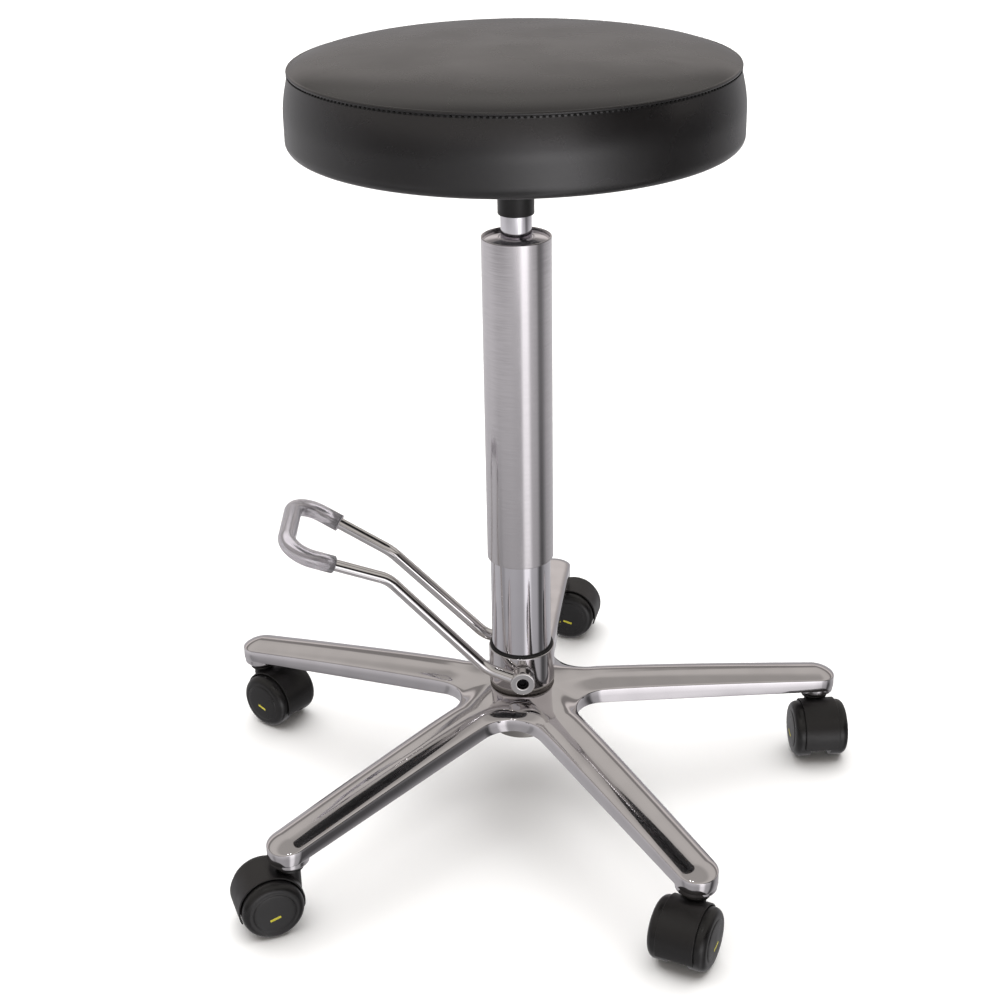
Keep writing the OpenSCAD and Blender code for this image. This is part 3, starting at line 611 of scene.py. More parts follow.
def ring_tree() -> Tree:
    """Tree that repeats its source about the Z axis, each copy strayed by a small random turn.

    Returns:
        The tree.
    """
    tree = tree_with("copies_round_the_column", {
        "Source": "NodeSocketGeometry", "Count": "NodeSocketInt", "Stray": "NodeSocketFloat",
        "Seed": "NodeSocketInt", "Weld": "NodeSocketFloat", "Finish": "NodeSocketMaterial"})
    given = add(tree, "NodeGroupInput").outputs
    step = add(tree, "ShaderNodeMath", {0: tau, 1: given["Count"]}, operation="DIVIDE").outputs[0]
    index = add(tree, "GeometryNodeInputIndex").outputs[0]
    turn = add(tree, "ShaderNodeMath", {0: index, 1: step}, operation="MULTIPLY").outputs[0]
    stray = add(tree, "FunctionNodeRandomValue", {2: -1.0, 3: 1.0, "Seed": given["Seed"]},
                data_type="FLOAT").outputs[1]
    total = add(tree, "ShaderNodeMath", {0: stray, 1: given["Stray"], 2: turn},
                operation="MULTIPLY_ADD").outputs[0]
    spin = add(tree, "ShaderNodeCombineXYZ", {"Z": total}).outputs[0]
    turned_by = add(tree, "FunctionNodeEulerToRotation", {0: spin}).outputs[0]
    points = add(tree, "GeometryNodePoints", {"Count": given["Count"]}).outputs[0]
    placed = add(tree, "GeometryNodeInstanceOnPoints",
                 {"Points": points, "Instance": given["Source"], "Rotation": turned_by}).outputs[0]
    real = add(tree, "GeometryNodeRealizeInstances", {"Geometry": placed}).outputs[0]
    welded = add(tree, "GeometryNodeMergeByDistance",
                 {"Geometry": real, "Distance": given["Weld"]}).outputs[0]
    dressed = add(tree, "GeometryNodeSetMaterial",
                  {"Geometry": welded, "Material": given["Finish"]}).outputs[0]
    add(tree, "NodeGroupOutput", {0: dressed})
    return tree


def bar_tree() -> Tree:
    """Tree that bends a line at its corners and sweeps a round bar along it.

    Returns:
        The tree; each corner's bend radius is read from the attribute "bend".
    """
    tree = tree_with("bent_round_bar", {
        "Line": "NodeSocketGeometry", "Radius": "NodeSocketFloat", "Sides": "NodeSocketInt",
        "Bend Steps": "NodeSocketInt", "Closed Ends": "NodeSocketBool", "Finish": "NodeSocketMaterial"})
    given = add(tree, "NodeGroupInput").outputs
    line = add(tree, "GeometryNodeMeshToCurve", {0: given["Line"]}).outputs[0]
    bend = add(tree, "GeometryNodeInputNamedAttribute", {"Name": "bend"}, data_type="FLOAT").outputs[0]
    bent = add(tree, "GeometryNodeFilletCurve",
               {"Curve": line, "Count": given["Bend Steps"], "Radius": bend}, mode="POLY").outputs[0]
    outline = add(tree, "GeometryNodeCurvePrimitiveCircle",
                  {"Resolution": given["Sides"], "Radius": given["Radius"]}).outputs[0]
    bar = add(tree, "GeometryNodeCurveToMesh",
              {"Curve": bent, "Profile Curve": outline, "Fill Caps": given["Closed Ends"]}).outputs[0]
    real = add(tree, "GeometryNodeRealizeInstances", {"Geometry": bar}).outputs[0]
    dressed = add(tree, "GeometryNodeSetMaterial",
                  {"Geometry": real, "Material": given["Finish"]}).outputs[0]
    add(tree, "NodeGroupOutput", {0: dressed})
    return tree


def grown(name: str, source: Mesh, tree: Tree, values: dict[str, object]) -> Mesh:
    """Run a geometry tree on a mesh and keep the result as a plain mesh.

    Args:
        name: the new mesh's name.
        source: the mesh that the tree starts from.
        tree: the tree.
        values: the tree's inputs by name.

    Returns:
        The new mesh.
    """
    holder = bpy.data.objects.new(name, source)
    modifier = holder.modifiers.new(name, "NODES")
    modifier.node_group = tree
    for item in tree.interface.items_tree:
        if item.name in values:
            modifier[item.identifier] = values[item.name]
    bpy.context.scene.collection.objects.link(holder)
    graph = bpy.context.evaluated_depsgraph_get()
    mesh = bpy.data.meshes.new_from_object(holder.evaluated_get(graph), depsgraph=graph)
    holder.modifiers.remove(modifier)
    bpy.data.objects.remove(holder)
    mesh.name = name
    return mesh


def copies(name: str, one: Mesh, finish: Finishes, crease: float, count: int, stray: float = 0.0,
           seed: int = 1, weld: float = 0.0) -> Mesh:
    """Repeat a mesh about the column.

    Args:
        name: the new mesh's name.
        one: the mesh to repeat.
        finish: its finish.
        crease: edges sharper than this many degrees stay sharp.
        count: number of copies.
        stray: most that a copy is turned out of its place, in radians.
        seed: seed of the strays.
        weld: distance at which points are joined, in metres.

    Returns:
        The mesh of all copies.
    """
    return creased(grown(name, one, ring_tree(), {
        "Count": count, "Stray": stray, "Seed": seed, "Weld": weld,
        "Finish": finish.value.material()}), crease)


def bent_bar(name: str, corners: Sequence[Vector], bends: Sequence[float], radius: float, sides: int,
             bend_steps: int, finish: Finishes, closed: bool = True) -> Mesh:
    """Sweep a round bar along a line with rounded corners.

    Args:
        name: the mesh's name.
        corners: the corners of the line, in millimetres.
        bends: the bend radius at each corner.
        radius: the bar's radius.
        sides: number of its sides.
        bend_steps: steps in each bend.
        finish: its finish.
        closed: whether its ends are closed.

    Returns:
        The bar's mesh, in metres.
    """
    line = bpy.data.meshes.new(f"{name}_line")
    line.from_pydata([c * MM for c in corners], [(k, k + 1) for k in range(len(corners) - 1)], [])
    radii = line.attributes.new("bend", "FLOAT", "POINT")
    for k, bend in enumerate(bends):
        radii.data[k].value = bend * MM
    return creased(grown(name, line, bar_tree(), {
        "Radius": radius * MM, "Sides": sides, "Bend Steps": bend_steps, "Closed Ends": closed,
        "Finish": finish.value.material()}), 40)


def piece(name: str, mesh: Mesh, finish: Finishes, body: str, *stands_for: str) -> bpy.types.Object:
    """Put a mesh on the stool as a piece of its own.

    Args:
        name: the piece's name.
        mesh: its mesh, in place.
        finish: its finish.
        body: the body that it moves with.
        stands_for: the CAD nodes that it stands for.

    Returns:
        The piece.
    """
    obj = bpy.data.objects.new(name, mesh)
    bpy.context.scene.collection.objects.link(obj)
    if not mesh.materials:
        mesh.materials.append(finish.value.material())
    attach(obj, body)
    if stands_for:
        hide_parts(*stands_for)
    LOG.info("%s: %d faces on %s", name, len(mesh.polygons), body)
    return obj


def turned(name: str, profile: Profile, finish: Finishes, body: str, *stands_for: str, steps: int = 128) -> None:
    """Turn a profile about the column and put it on the stool.

    Args:
        name: the piece's name.
        profile: radius and height of each point of the closed profile.
        finish: its finish.
        body: the body that it moves with.
        stands_for: the CAD nodes that it stands for.
        steps: steps round the column.
    """
    piece(name, Shape().lathe(profile, steps).mesh(name), finish, body, *stands_for)


@dataclass
class StarBase:
    """Cast base: five hollow crowned legs that flow into a domed hub."""

    reach: float = 272.0
    tip_r: float = 17.0
    root_w: float = 40.0
    web_r: float = 30.0
    boss_z: float = 55.1
    boss_r: float = 16.4
    boss_in: float = 3.0
    tip_low: float = 60.0
    hub_crest: float = 97.5
    hub_top: float = 103.0
    leg_rise: float = 20.5
    leg_drop: float = 1.15
    under_rise: float = 23.0
    leg_crown: float = 5.5
    root_crown: float = 7.5
    # Share of the crown's fall that is round; the rest follows a parabola
    edge_share: float = 0.45
    # The fall gets wider on the webs, from this share of the way between two legs on
    web_start: float = 0.3
    web_slope: float = 12.0
    hub_dome: float = 3.0
    wall: float = 4.0
    # Inset and lift of the points that round a wall's lower edge
    rounding: tuple[tuple[float, float], ...] = ((0.0, 1.2), (0.35, 0.35), (1.2, 0.0))
    roof_t: float = 8.0
    roof_draft: float = 1.5
    roof_turns: range = range(0, 79, 6)
    rib_t: float = 3.0
    rib_lift: float = 1.5
    rib_in: float = 2.0
    rib_short: float = 12.0
    rib_steps: int = 8
    waist_r: float = 24.5
    collar_r: float = 28.4
    foot_w: float = 3.5
    legs: int = 5
    first_leg: float = 18.0
    web_steps: int = 16
    leg_steps: int = 28
    tip_steps: int = 12
    fill_steps: int = 6

    def __post_init__(self) -> None:
        """Work out where the webs between the legs are centred."""
        half = radians(180 / self.legs)
        web_c = (self.root_w / 2 + self.web_r) / sin(half)
        self.web_x = web_c * cos(half)
        self.web_y = web_c * sin(half)

    def share(self, x: float) -> float:
        """Share of the way from the hub to the leg's end."""
        return max(0.0, x - self.web_x) / (self.reach - self.web_x)

    def half_width(self, x: float) -> float:
        """Half the leg's width."""
        return self.root_w / 2 + (self.tip_r - self.root_w / 2) * self.share(x)

    def crown(self, x: float) -> float:
        """Height of the crown over the side walls."""
        return self.root_crown + (self.leg_crown - self.root_crown) * min(1.0, self.share(x))

    def under(self, x: float) -> float:
        """Height of the lower edge."""
        return self.tip_low + self.under_rise * (1 - x / self.reach)

    def crest(self, x: float, y: float) -> float:
        """Height of the leg's middle line, with the hub's dome.

        Args:
            x: distance from the column along the leg.
            y: distance from the leg's middle line.

        Returns:
            The height.
        """
        near = min(1.0, hypot(x, y) / self.web_x)
        return (self.hub_crest - self.leg_rise * self.share(x) ** self.leg_drop
                + self.hub_dome * (1 + cos(pi * near)) / 2)

    def depth(self, x: float, y: float) -> float:
        """Distance of a point from the outline.

        Args:
            x: distance from the column along the leg.
            y: distance from the leg's middle line.

        Returns:
            The distance, inwards.
        """
        if x < self.web_x:
            return hypot(x - self.web_x, abs(y) - self.web_y) - self.web_r
        if x < self.reach:
            return self.half_width(x) - abs(y)
        return self.tip_r - hypot(x - self.reach, y)

    def roof(self, x: float, y: float) -> float:
        """Height of the outside over a point.

        Args:
            x: distance from the column along the leg.
            y: distance from the leg's middle line.

        Returns:
            The height.
        """
        between = atan2(abs(y), max(x, 0.01)) * self.legs / pi
        width = self.tip_r + self.web_slope * max(0.0, between - self.web_start) / (1 - self.web_start)
        far = 1 - min(1.0, max(0.0, self.depth(x, y)) / width)
        drop = self.edge_share * (1 - sqrt(1 - far ** 2)) + (1 - self.edge_share) * far ** 2
        return self.crest(x, y) - self.crown(x) * drop

    def side(self, inset: float) -> Profile:
        """One side of a leg's outline.

        Args:
            inset: how far the outline is drawn in.

        Returns:
            The points from the middle of the web to the end of the leg.
        """
        points = arc((self.web_x, self.web_y), self.web_r + inset, 180 + 180 / self.legs, 270, self.web_steps)
        for k in range(1, self.leg_steps + 1):
            x = self.web_x + (self.reach - self.web_x) * k / self.leg_steps
            points.append((x, self.half_width(x) - inset))
        return points + arc((self.reach, 0.0), self.tip_r - inset, 90, 0, self.tip_steps)[1:]

    def middle(self, inset: float) -> Profile:
        """Points on the leg's middle line that face the points of one side.

        Args:
            inset: how far the side is drawn in.

        Returns:
            The points, as many as the side has.
        """
        hub = [(self.web_x * k / self.web_steps, 0.0) for k in range(self.web_steps + 1)]
        return hub + [(min(x, self.reach), 0.0) for x, _ in self.side(inset)[self.web_steps + 1:]]

    def leg(self) -> Mesh:
        """Build one leg with its share of the hub, its rib and its boss.

        Returns:
            The mesh of a fifth of the base, along its first leg.
        """
        shape = Shape()
        layers: list[tuple[float, Callable[[float, float], float]]] = [
            (self.wall + self.roof_draft, lambda x, y: self.crest(x, y) - self.roof_t)]
        edges = [(self.wall - inset, lift) for inset, lift in self.rounding] + [*reversed(self.rounding)]
        layers += [(inset, lambda x, y, lift=lift: self.under(x) + lift) for inset, lift in edges]
        layers.append((0.0, lambda x, y: (self.under(x) + self.roof(x, y)) / 2))
        layers += [(self.tip_r * (1 - cos(radians(turn))), self.roof) for turn in self.roof_turns]
        for hand in (1, -1):
            shape.skin([shape.ring([Vector((x, hand * y, height(x, y))) for x, y in self.side(inset)])
                        for inset, height in layers], around=False)
            for inset, height in (layers[0], layers[-1]):
                ends = list(zip(self.side(inset), self.middle(inset)))
                rows = []
                for k in range(self.fill_steps + 1):
                    spots = [Vector(a).lerp(Vector(b), k / self.fill_steps) for a, b in ends]
                    rows.append(shape.ring([Vector((p.x, hand * p.y, height(p.x, p.y))) for p in spots]))
                shape.skin(rows, around=False)
        start, end, half = self.waist_r - self.rib_in, self.reach - self.rib_short, self.rib_t / 2
        places = [start + (end - start) * k / self.rib_steps for k in range(self.rib_steps + 1)]
        sections = []
        for x in places:
            low, high = self.under(x) + self.rib_lift, self.crest(x, 0) - self.roof_t + self.rib_in
            sections.append([Vector((x, y, z)) for y, z in ((half, low), (half, high), (-half, high), (-half, low))])
        shape.loft(sections)
        boss = block(0, self.boss_r, self.boss_z, self.tip_low + self.boss_in, 1.5)
        shape.lathe(boss, 72, Matrix.Translation((self.reach, 0, 0)))
        shape.work.transform(Matrix.Rotation(radians(self.first_leg), 4, "Z"))
        return shape.mesh("base_leg")

    def hub(self) -> Profile:
        """Outline of the hub, with its waist under the collar.

        Returns:
            The closed outline.
        """
        foot, curve = self.waist_r + self.foot_w, self.collar_r - self.waist_r
        bevel, fine, sunk = 1.0, 0.4, 4.0
        waist = arc((self.collar_r, self.hub_top - curve - bevel), curve, 180, 90, 10)
        return [(0, self.boss_z), (foot - bevel, self.boss_z), (foot, self.boss_z + bevel),
                (foot, self.hub_crest - sunk), *waist, (self.collar_r, self.hub_top - fine),
                (self.collar_r - fine, self.hub_top), (0, self.hub_top)]

    def build(self) -> None:
        """Put the base on the stool."""
        casting = copies("star_base_casting", self.leg(), Finishes.ALUMINIUM, 34, self.legs, weld=0.01 * MM)
        piece("star_base_casting", casting, Finishes.ALUMINIUM, "base", "star_base")
        # The hub's waist is grey and dull: unbuffed skin, and painted shade for the gap under the collar
        turned("star_base_hub", self.hub(), Finishes.AS_CAST_WITH_GAP_SHADE, "base")


@dataclass
class Column:
    """Tubes, collar and caps from the base up to the seat."""

    collar_r: float = 28.4
    collar_bore: float = 19.0
    collar_low: float = 103.0
    collar_top: float = 135.0
    tube_r: float = 25.5
    tube_bore: float = 23.5
    tube_low: float = 127.0
    tube_top: float = 397.0
    seal_r: float = 27.6
    seal_h: float = 1.4
    cover_r: float = 28.0
    cover_bore: float = 26.5
    cover_low: float = 221.5
    cover_top: float = 501.5
    cap_bore: float = 5.1
    cap_low: float = 488.7
    cap_top: float = 500.7
    cap_slope: float = 1.6
    groove_out: float = 1.2
    groove_w: float = 1.0
    groove_d: float = 0.8
    neck_r: float = 12.4
    neck_bore: float = 9.4
    neck_in: float = 6.0
    socket_low: float = 519.5
    socket_h: float = 55.0
    socket_r: float = 14.5
    flare_r: float = 10.0
    pivot_z: float = 118.0
    lug_r: float = 10.0
    lug_bore: float = 8.0
    lug_root: float = 22.0
    lug_face: float = 28.7
    lever_turn: float = 8.0
    fit: float = 0.02

    def collar(self) -> Mesh:
        """Build the collar with the two flat lugs that carry the lever.

        Returns:
            The mesh, in place.
        """
        seat = self.tube_r + self.fit
        shape = Shape().lathe(softened([
            (self.collar_bore, self.collar_low), (self.collar_r, self.collar_low), (self.collar_r, self.collar_top),
            (seat, self.collar_top), (seat, self.tube_low), (self.collar_bore, self.tube_low)], 0.9), 160)
        for hand in (0.0, 180.0):
            shape.lathe(block(self.lug_bore, self.lug_r, self.lug_root, self.lug_face, 0.5), 64,
                        cross(hand, self.lever_turn, self.pivot_z))
        return shape.mesh("lever_collar_body")

    def cap(self) -> Profile:
        """Outline of the cover's cap, with the groove round the neck.

        Returns:
            The closed outline.
        """
        rim, neck, groove = self.cover_bore - 0.05, self.neck_r + self.fit, self.neck_r + self.groove_out
        top, floor, slant = self.cap_top, self.cap_top - self.groove_d, 0.1
        return softened([
            (self.cap_bore, self.cap_low), (rim, self.cap_low), (rim, top - self.cap_slope),
            (groove + self.groove_w, top), (groove + self.groove_w - slant, floor), (groove + slant, floor),
            (groove, top), (neck, top), (neck, top - self.neck_in), (self.cap_bore, top - self.neck_in)], 0.35)

    def socket(self) -> Profile:
        """Outline of the seat's socket, flared at its top.

        Returns:
            The closed outline.
        """
        low, top, bore = self.socket_low, self.socket_low + self.socket_h, self.neck_r + 0.03
        outer, wide, bevel = self.socket_r, self.socket_r + self.flare_r, 0.4
        lip = [(bore, low + bevel), (self.neck_r + bevel, low), (outer - 0.9, low), (outer - 0.25, low + 0.25),
               (outer, low + 0.9)]
        flare = arc((wide, top - self.flare_r), self.flare_r, 180, 92, 10)
        return lip + flare + [(wide, top - bevel), (wide, top), (0, top), (0, top - self.neck_in),
                              (bore, top - self.neck_in)]

    def build(self) -> None:
        """Put the column on the stool."""
        piece("lever_collar_body", self.collar(), Finishes.ALUMINIUM, "base", "lever_collar")
        turned("seal_ring_lip", block(self.tube_r, self.seal_r, self.collar_top, self.collar_top + self.seal_h, 0.6),
               Finishes.RUBBER, "base", "seal_ring")
        turned("lower_tube_chromed", block(self.tube_bore, self.tube_r, self.tube_low, self.tube_top, 0.5),
               Finishes.CHROME, "base", "lower_tube", steps=160)
        turned("cover_tube_ground", block(self.cover_bore, self.cover_r, self.cover_low, self.cover_top, 0.45),
               Finishes.SATIN, "seat", "cover_tube", steps=160)
        turned("cover_cap_turned", self.cap(), Finishes.CHROME, "seat", "cover_cap")
        low, high = (z - self.neck_in for z in (self.cap_top, self.socket_low + self.socket_h))
        turned("neck_tube_chromed", block(self.neck_bore, self.neck_r, low, high, 0.4), Finishes.CHROME,
               "seat", "neck_tube")
        turned("seat_socket_moulded", self.socket(), Finishes.NYLON, "seat", "seat_socket")


def cross(hand: float, turn: float, height: float) -> Matrix:
    """Place of something turned about Z that belongs on the lever's shaft.

    Args:
        hand: 0 for the side towards -Y, 180 for the other.
        turn: turn of the shaft about the column, in degrees.
        height: height of the shaft.

    Returns:
        The matrix that takes +Z out along the shaft.
    """
    return (Matrix.Rotation(radians(hand + turn), 4, "Z") @ Matrix.Translation((0, 0, height))
            @ Matrix.Rotation(radians(90), 4, "X"))


def hexagon(radius: float) -> Callable[[float], float]:
    """Radius of a hexagon, by the angle, with corners at the given radius."""
    sixth = pi / 3
    return lambda a: radius * cos(sixth / 2) / cos(a % sixth - sixth / 2)


def socket_head(radius: float, low: float, high: float, hex_r: float, hex_depth: float
                ) -> list[tuple[Radius, float]]:
    """Profile of a round screw head with a hexagon socket in its upper face.

    Args:
        radius: radius of the head.
        low: height of its lower face.
        high: height of its upper face.
        hex_r: radius of the socket's corners.
        hex_depth: depth of the socket.

    Returns:
        The closed profile, for the lathe.
    """
    soft, part = 0.5, 0.15
    lead, lead_depth, point = 0.25, 0.2, 0.4
    return [(0.0, low), (radius, low), (radius, high - soft), (radius - part, high - part), (radius - soft, high),
            (hexagon(hex_r + lead), high), (hexagon(hex_r), high - lead_depth), (hexagon(hex_r), high - hex_depth),
            (0.0, high - hex_depth - point)]


@dataclass
class FootLever:
    """Bent steel loop with a clear sleeve, pivoted on both sides of the collar."""

    pivot_z: float = 118.0
    turn: float = 8.0
    bar_r: float = 5.1
    sleeve_r: float = 7.6
    sleeve_wall: float = 2.7
    eye_r: float = 10.5
    eye_in: float = 30.7
    eye_out: float = 41.7
    eye_bore: float = 4.9
    eye_sink: float = 5.5
    screw_r: float = 4.8
    screw_sunk: float = 1.9
    hex_r: float = 2.9
    hex_depth: float = 2.0
    # Reach, distance out from the eye and height above the shaft of each bend
    low_bend: Spot = (31.0, -6.5, 9.5)
    high_bend: Spot = (111.5, -10.0, 96.0)
    loop_bend: Spot = (194.0, 14.0, 136.0)
    bend_r: float = 30.0
    loop_r: float = 20.0
    sleeve_leg: float = 24.0
    bar_start: float = 8.0

    def corner(self, bend: Spot, hand: int) -> Vector:
        """Where a corner of the bar is.

        Args:
            bend: reach, distance out from the eye and height above the shaft.
            hand: 1 for the arm towards -Y, -1 for the other.

        Returns:
            The corner's place.
        """
        middle = (self.eye_in + self.eye_out) / 2
        return Matrix.Rotation(radians(self.turn), 3, "Z") @ Vector(
            (-bend[0], -hand * (middle + bend[1]), self.pivot_z + bend[2]))

    def pivots(self) -> None:
        """Put the bar's eyes and their screws on the stool."""
        sink = self.eye_out - self.eye_sink
        eye = softened([(0.0, self.eye_in), (self.eye_r, self.eye_in), (self.eye_r, self.eye_out),
                        (self.eye_bore, self.eye_out), (self.eye_bore, sink), (0.0, sink)], 1.0, 4)
        head = socket_head(self.screw_r, sink, self.eye_out - self.screw_sunk, self.hex_r, self.hex_depth)
        eyes, screws = Shape(), Shape()
        for hand in (0.0, 180.0):
            place = cross(hand, self.turn, self.pivot_z)
            eyes.lathe(eye, 96, place)
            screws.lathe(head, 72, place)
        piece("lever_eyes", eyes.mesh("lever_eyes"), Finishes.LEVER, "lever")
        # The screw heads are nearly black: black oxide, and painted shade for the recess they sit in
        piece("lever_socket_screws", screws.mesh("lever_socket_screws", 25), Finishes.BLACKED_WITH_RECESS_SHADE, "lever",
              "lever_screws")

    def build(self) -> None:
        """Put the lever on the stool."""
        bends = ((0.0, 0.0, 0.0), self.low_bend, self.high_bend, self.loop_bend)
        near, far = ([self.corner(bend, hand) for bend in bends] for hand in (1, -1))
        starts = [arm[0] + (arm[1] - arm[0]).normalized() * self.bar_start for arm in (near, far)]
        arm_radii = [0.0, self.bend_r, self.bend_r, self.loop_r]
        bar = bent_bar("lever_bar_bent", [starts[0], *near[1:], *reversed(far[1:]), starts[1]],
                       [*arm_radii, *reversed(arm_radii)], self.bar_r, 32, 16, Finishes.LEVER)
        piece("lever_bar_bent", bar, Finishes.LEVER, "lever", "lever_bar")
        self.pivots()
        ends = [arm[3] + (arm[2] - arm[3]).normalized() * (self.loop_r + self.sleeve_leg) for arm in (near, far)]
        hose = bent_bar("lever_sleeve_hose", [ends[0], near[3], far[3], ends[1]],
                        [0.0, self.loop_r, self.loop_r, 0.0], self.sleeve_r, 40, 20, Finishes.HOSE, closed=False)
        sleeve = piece("lever_sleeve_hose", hose, Finishes.HOSE, "lever", "lever_sleeve")
        sleeve.data.materials.append(Finishes.SAWN_HOSE.value.material())
        wall = sleeve.modifiers.new("hose_wall", "SOLIDIFY")
        wall.thickness = self.sleeve_wall * MM
        wall.offset = -1.0
        wall.material_offset_rim = 1


@dataclass
class Caster:
    """Hooded twin-wheel caster on a stem."""

    number: int
    turn: float
    base_reach: float = 272.0
    first_leg: float = 18.0
    wheel_r: float = 25.0
    wheel_in: float = 8.9
    wheel_out: float = 23.9
    shoulder: float = 6.0
    inner_edge: float = 1.2
    bore_r: float = 3.05
    bore_end: float = 20.3
    nave_r: float = 7.0
    dish: float = 6.75
    rim_t: float = 4.0
    rim_slope: float = 1.0
    face_r: float = 16.5
    face_step: float = 0.6
    face_dome: float = 0.5
    face_steps: int = 8
    dash_half: float = 4.6
    dash_w: float = 2.0
    dash_out: float = 4.5
    dash_tilt: float = 16.0
    trail: float = 19.5
    hood_r: float = 27.0
    hood_cut: float = 25.5
    hood_half: float = 15.4
    hood_steps: int = 60
    lip_angle: float = -18.0
    front_angle: float = 190.0
    lip_steps: int = 6
    lip_swing: float = 1.1
    lip_least: float = 0.08
    neck_r: float = 8.5
    neck_top: float = 54.7
    flange_low: float = 49.0
    flange_high: float = 53.0
    flange_w: float = 3.2
    web_low: float = 18.5
    web_half: float = 3.5
    web_angles: tuple[float, float] = (-14.0, 194.0)
    boss_r: float = 7.0

    def place(self) -> Matrix:
        """Where the caster's stem stands and where it trails to.

        Returns:
            The matrix that takes +X along the trail.
        """
        leg = radians(self.first_leg + 72 * (self.number - 1))
        return Matrix.Translation(polar(self.base_reach, leg, 0)) @ Matrix.Rotation(radians(self.turn), 4, "Z")

    def axle(self, hand: int) -> Matrix:
        """Place of something turned about Z on the axle.

        Args:
            hand: 1 for the left wheel, -1 for the right.

        Returns:
            The matrix that takes +Z out along the axle.
        """
        side = Matrix.Rotation(0 if hand > 0 else pi, 4, "Z")
        return (self.place() @ Matrix.Translation((self.trail, 0, self.wheel_r)) @ side
                @ Matrix.Rotation(radians(-90), 4, "X"))

    def hood(self) -> Mesh:
        """Build the hood with its neck and the web between the wheels.

        Returns:
            The mesh, in place.
        """
        shape = Shape()
        wall = self.hood_r - self.hood_cut
        section = block(-self.hood_half, self.hood_half, 0.0, wall, 0.9, 4)
        centre = self.place() @ Matrix.Translation((self.trail, 0, self.wheel_r))
        span = self.front_angle - self.lip_angle
        swing = self.lip_swing * wall / self.hood_r * 180 / pi
        quarter = [pi / 2 * k / self.lip_steps for k in range(1, self.lip_steps + 1)]
        ends = [(swing * sin(q), max(self.lip_least, cos(q))) for q in quarter]
        stations = [(self.lip_angle - a, t) for a, t in reversed(ends)]
        stations += [(self.lip_angle + span * k / self.hood_steps, 1.0) for k in range(self.hood_steps + 1)]
        stations += [(self.front_angle + a, t) for a, t in ends]
        rings = []
        for angle, thick in stations:
            a = radians(angle)
            radii = [self.hood_cut + wall / 2 + (h - wall / 2) * thick for _, h in section]
            rings.append([centre @ Vector((r * cos(a), across, r * sin(a)))
                          for r, (across, _) in zip(radii, section)])
        shape.loft(rings)
        shape.lathe(block(0, self.neck_r, self.web_low, self.neck_top, 0.8), 64, self.place())
        flange = softened([(0, self.flange_low), (self.neck_r + self.flange_w, self.flange_low),
                           (self.neck_r + self.flange_w - 0.6, self.flange_low + 2.6),
                           (self.neck_r, self.flange_high), (0, self.flange_high)], 0.8)
        shape.lathe(flange, 64, self.place())
        web = arc((0, 0), self.hood_cut + 0.3, *self.web_angles, 40)
        shape.loft([[centre @ Vector((x, y, z)) for x, z in web] for y in (-self.web_half, self.web_half)])
        shape.lathe(block(0, self.boss_r, -self.neck_r, self.neck_r, 0.6), 48,
                    centre @ Matrix.Rotation(radians(90), 4, "X"))
        return shape.mesh(f"caster_hood_moulded_{self.number}", 40)

    def wheel_profile(self) -> Profile:
        """Outline of a wheel: rounded rim, raised disc outside, dished inside.

        Returns:
            The closed outline.
        """
        deep, rim, out = self.wheel_in + self.dish, self.wheel_r - self.rim_t, self.wheel_out
        inner = softened([(self.bore_r, self.bore_end), (self.bore_r, self.wheel_in), (self.nave_r, self.wheel_in),
                          (self.nave_r, deep), (rim, deep), (rim + self.rim_slope, self.wheel_in)], 0.5)
        edge = arc((self.wheel_r - self.inner_edge, self.wheel_in + self.inner_edge), self.inner_edge, -90, 0, 4)
        tread = arc((self.wheel_r - self.shoulder, out - self.shoulder), self.shoulder, 0, 90, 14)
        top = out + self.face_step
        step = [(self.face_r + 0.9, out - 0.02), (self.face_r + 0.55, out + 0.12),
                (self.face_r + 0.3, top - 0.12), (self.face_r - 0.1, top)]
        shares = [k / self.face_steps for k in range(self.face_steps - 1, -1, -1)]
        face = [(self.face_r * t, top + self.face_dome * (1 - t ** 2)) for t in shares]
        return inner + edge + tread + step + face + [(0.0, self.bore_end)]

    def dash(self, hand: int) -> Mesh:
        """Build the painted dash on a wheel's disc.

        Args:
            hand: 1 for the left wheel, -1 for the right.

        Returns:
            The mesh, in place.
        """
        proud, sunk, paint = self.wheel_out + self.face_step + self.face_dome, 0.2, 0.02
        bar = block(-self.dash_half, self.dash_half, -self.dash_w / 2, self.dash_w / 2, 0.9, 4)
        tilt = (self.axle(hand) @ Matrix.Translation((0, self.dash_out, 0))
                @ Matrix.Rotation(radians(self.dash_tilt * hand), 4, "Z"))
        layers = [[tilt @ Vector((x, y, z)) for x, y in bar] for z in (proud - sunk, proud + paint)]
        return Shape().loft(layers).mesh(f"wheel_dash_{self.number}")

    def build(self) -> None:
        """Put the caster on the stool."""
        i = self.number
        piece(f"caster_hood_moulded_{i}", self.hood(), Finishes.NYLON, f"caster_{i}", f"caster_hood_{i}")
        for hand, side in ((1, "left"), (-1, "right")):
            body, name = f"{side}_wheel_{i}", f"{side}_wheel_moulded_{i}"
            wheel = Shape().lathe(self.wheel_profile(), 96, self.axle(hand)).mesh(name, 30)
            piece(name, wheel, Finishes.TREAD, body, body)
            piece(f"{side}_wheel_dash_{i}", self.dash(hand), Finishes.PAINT, body)


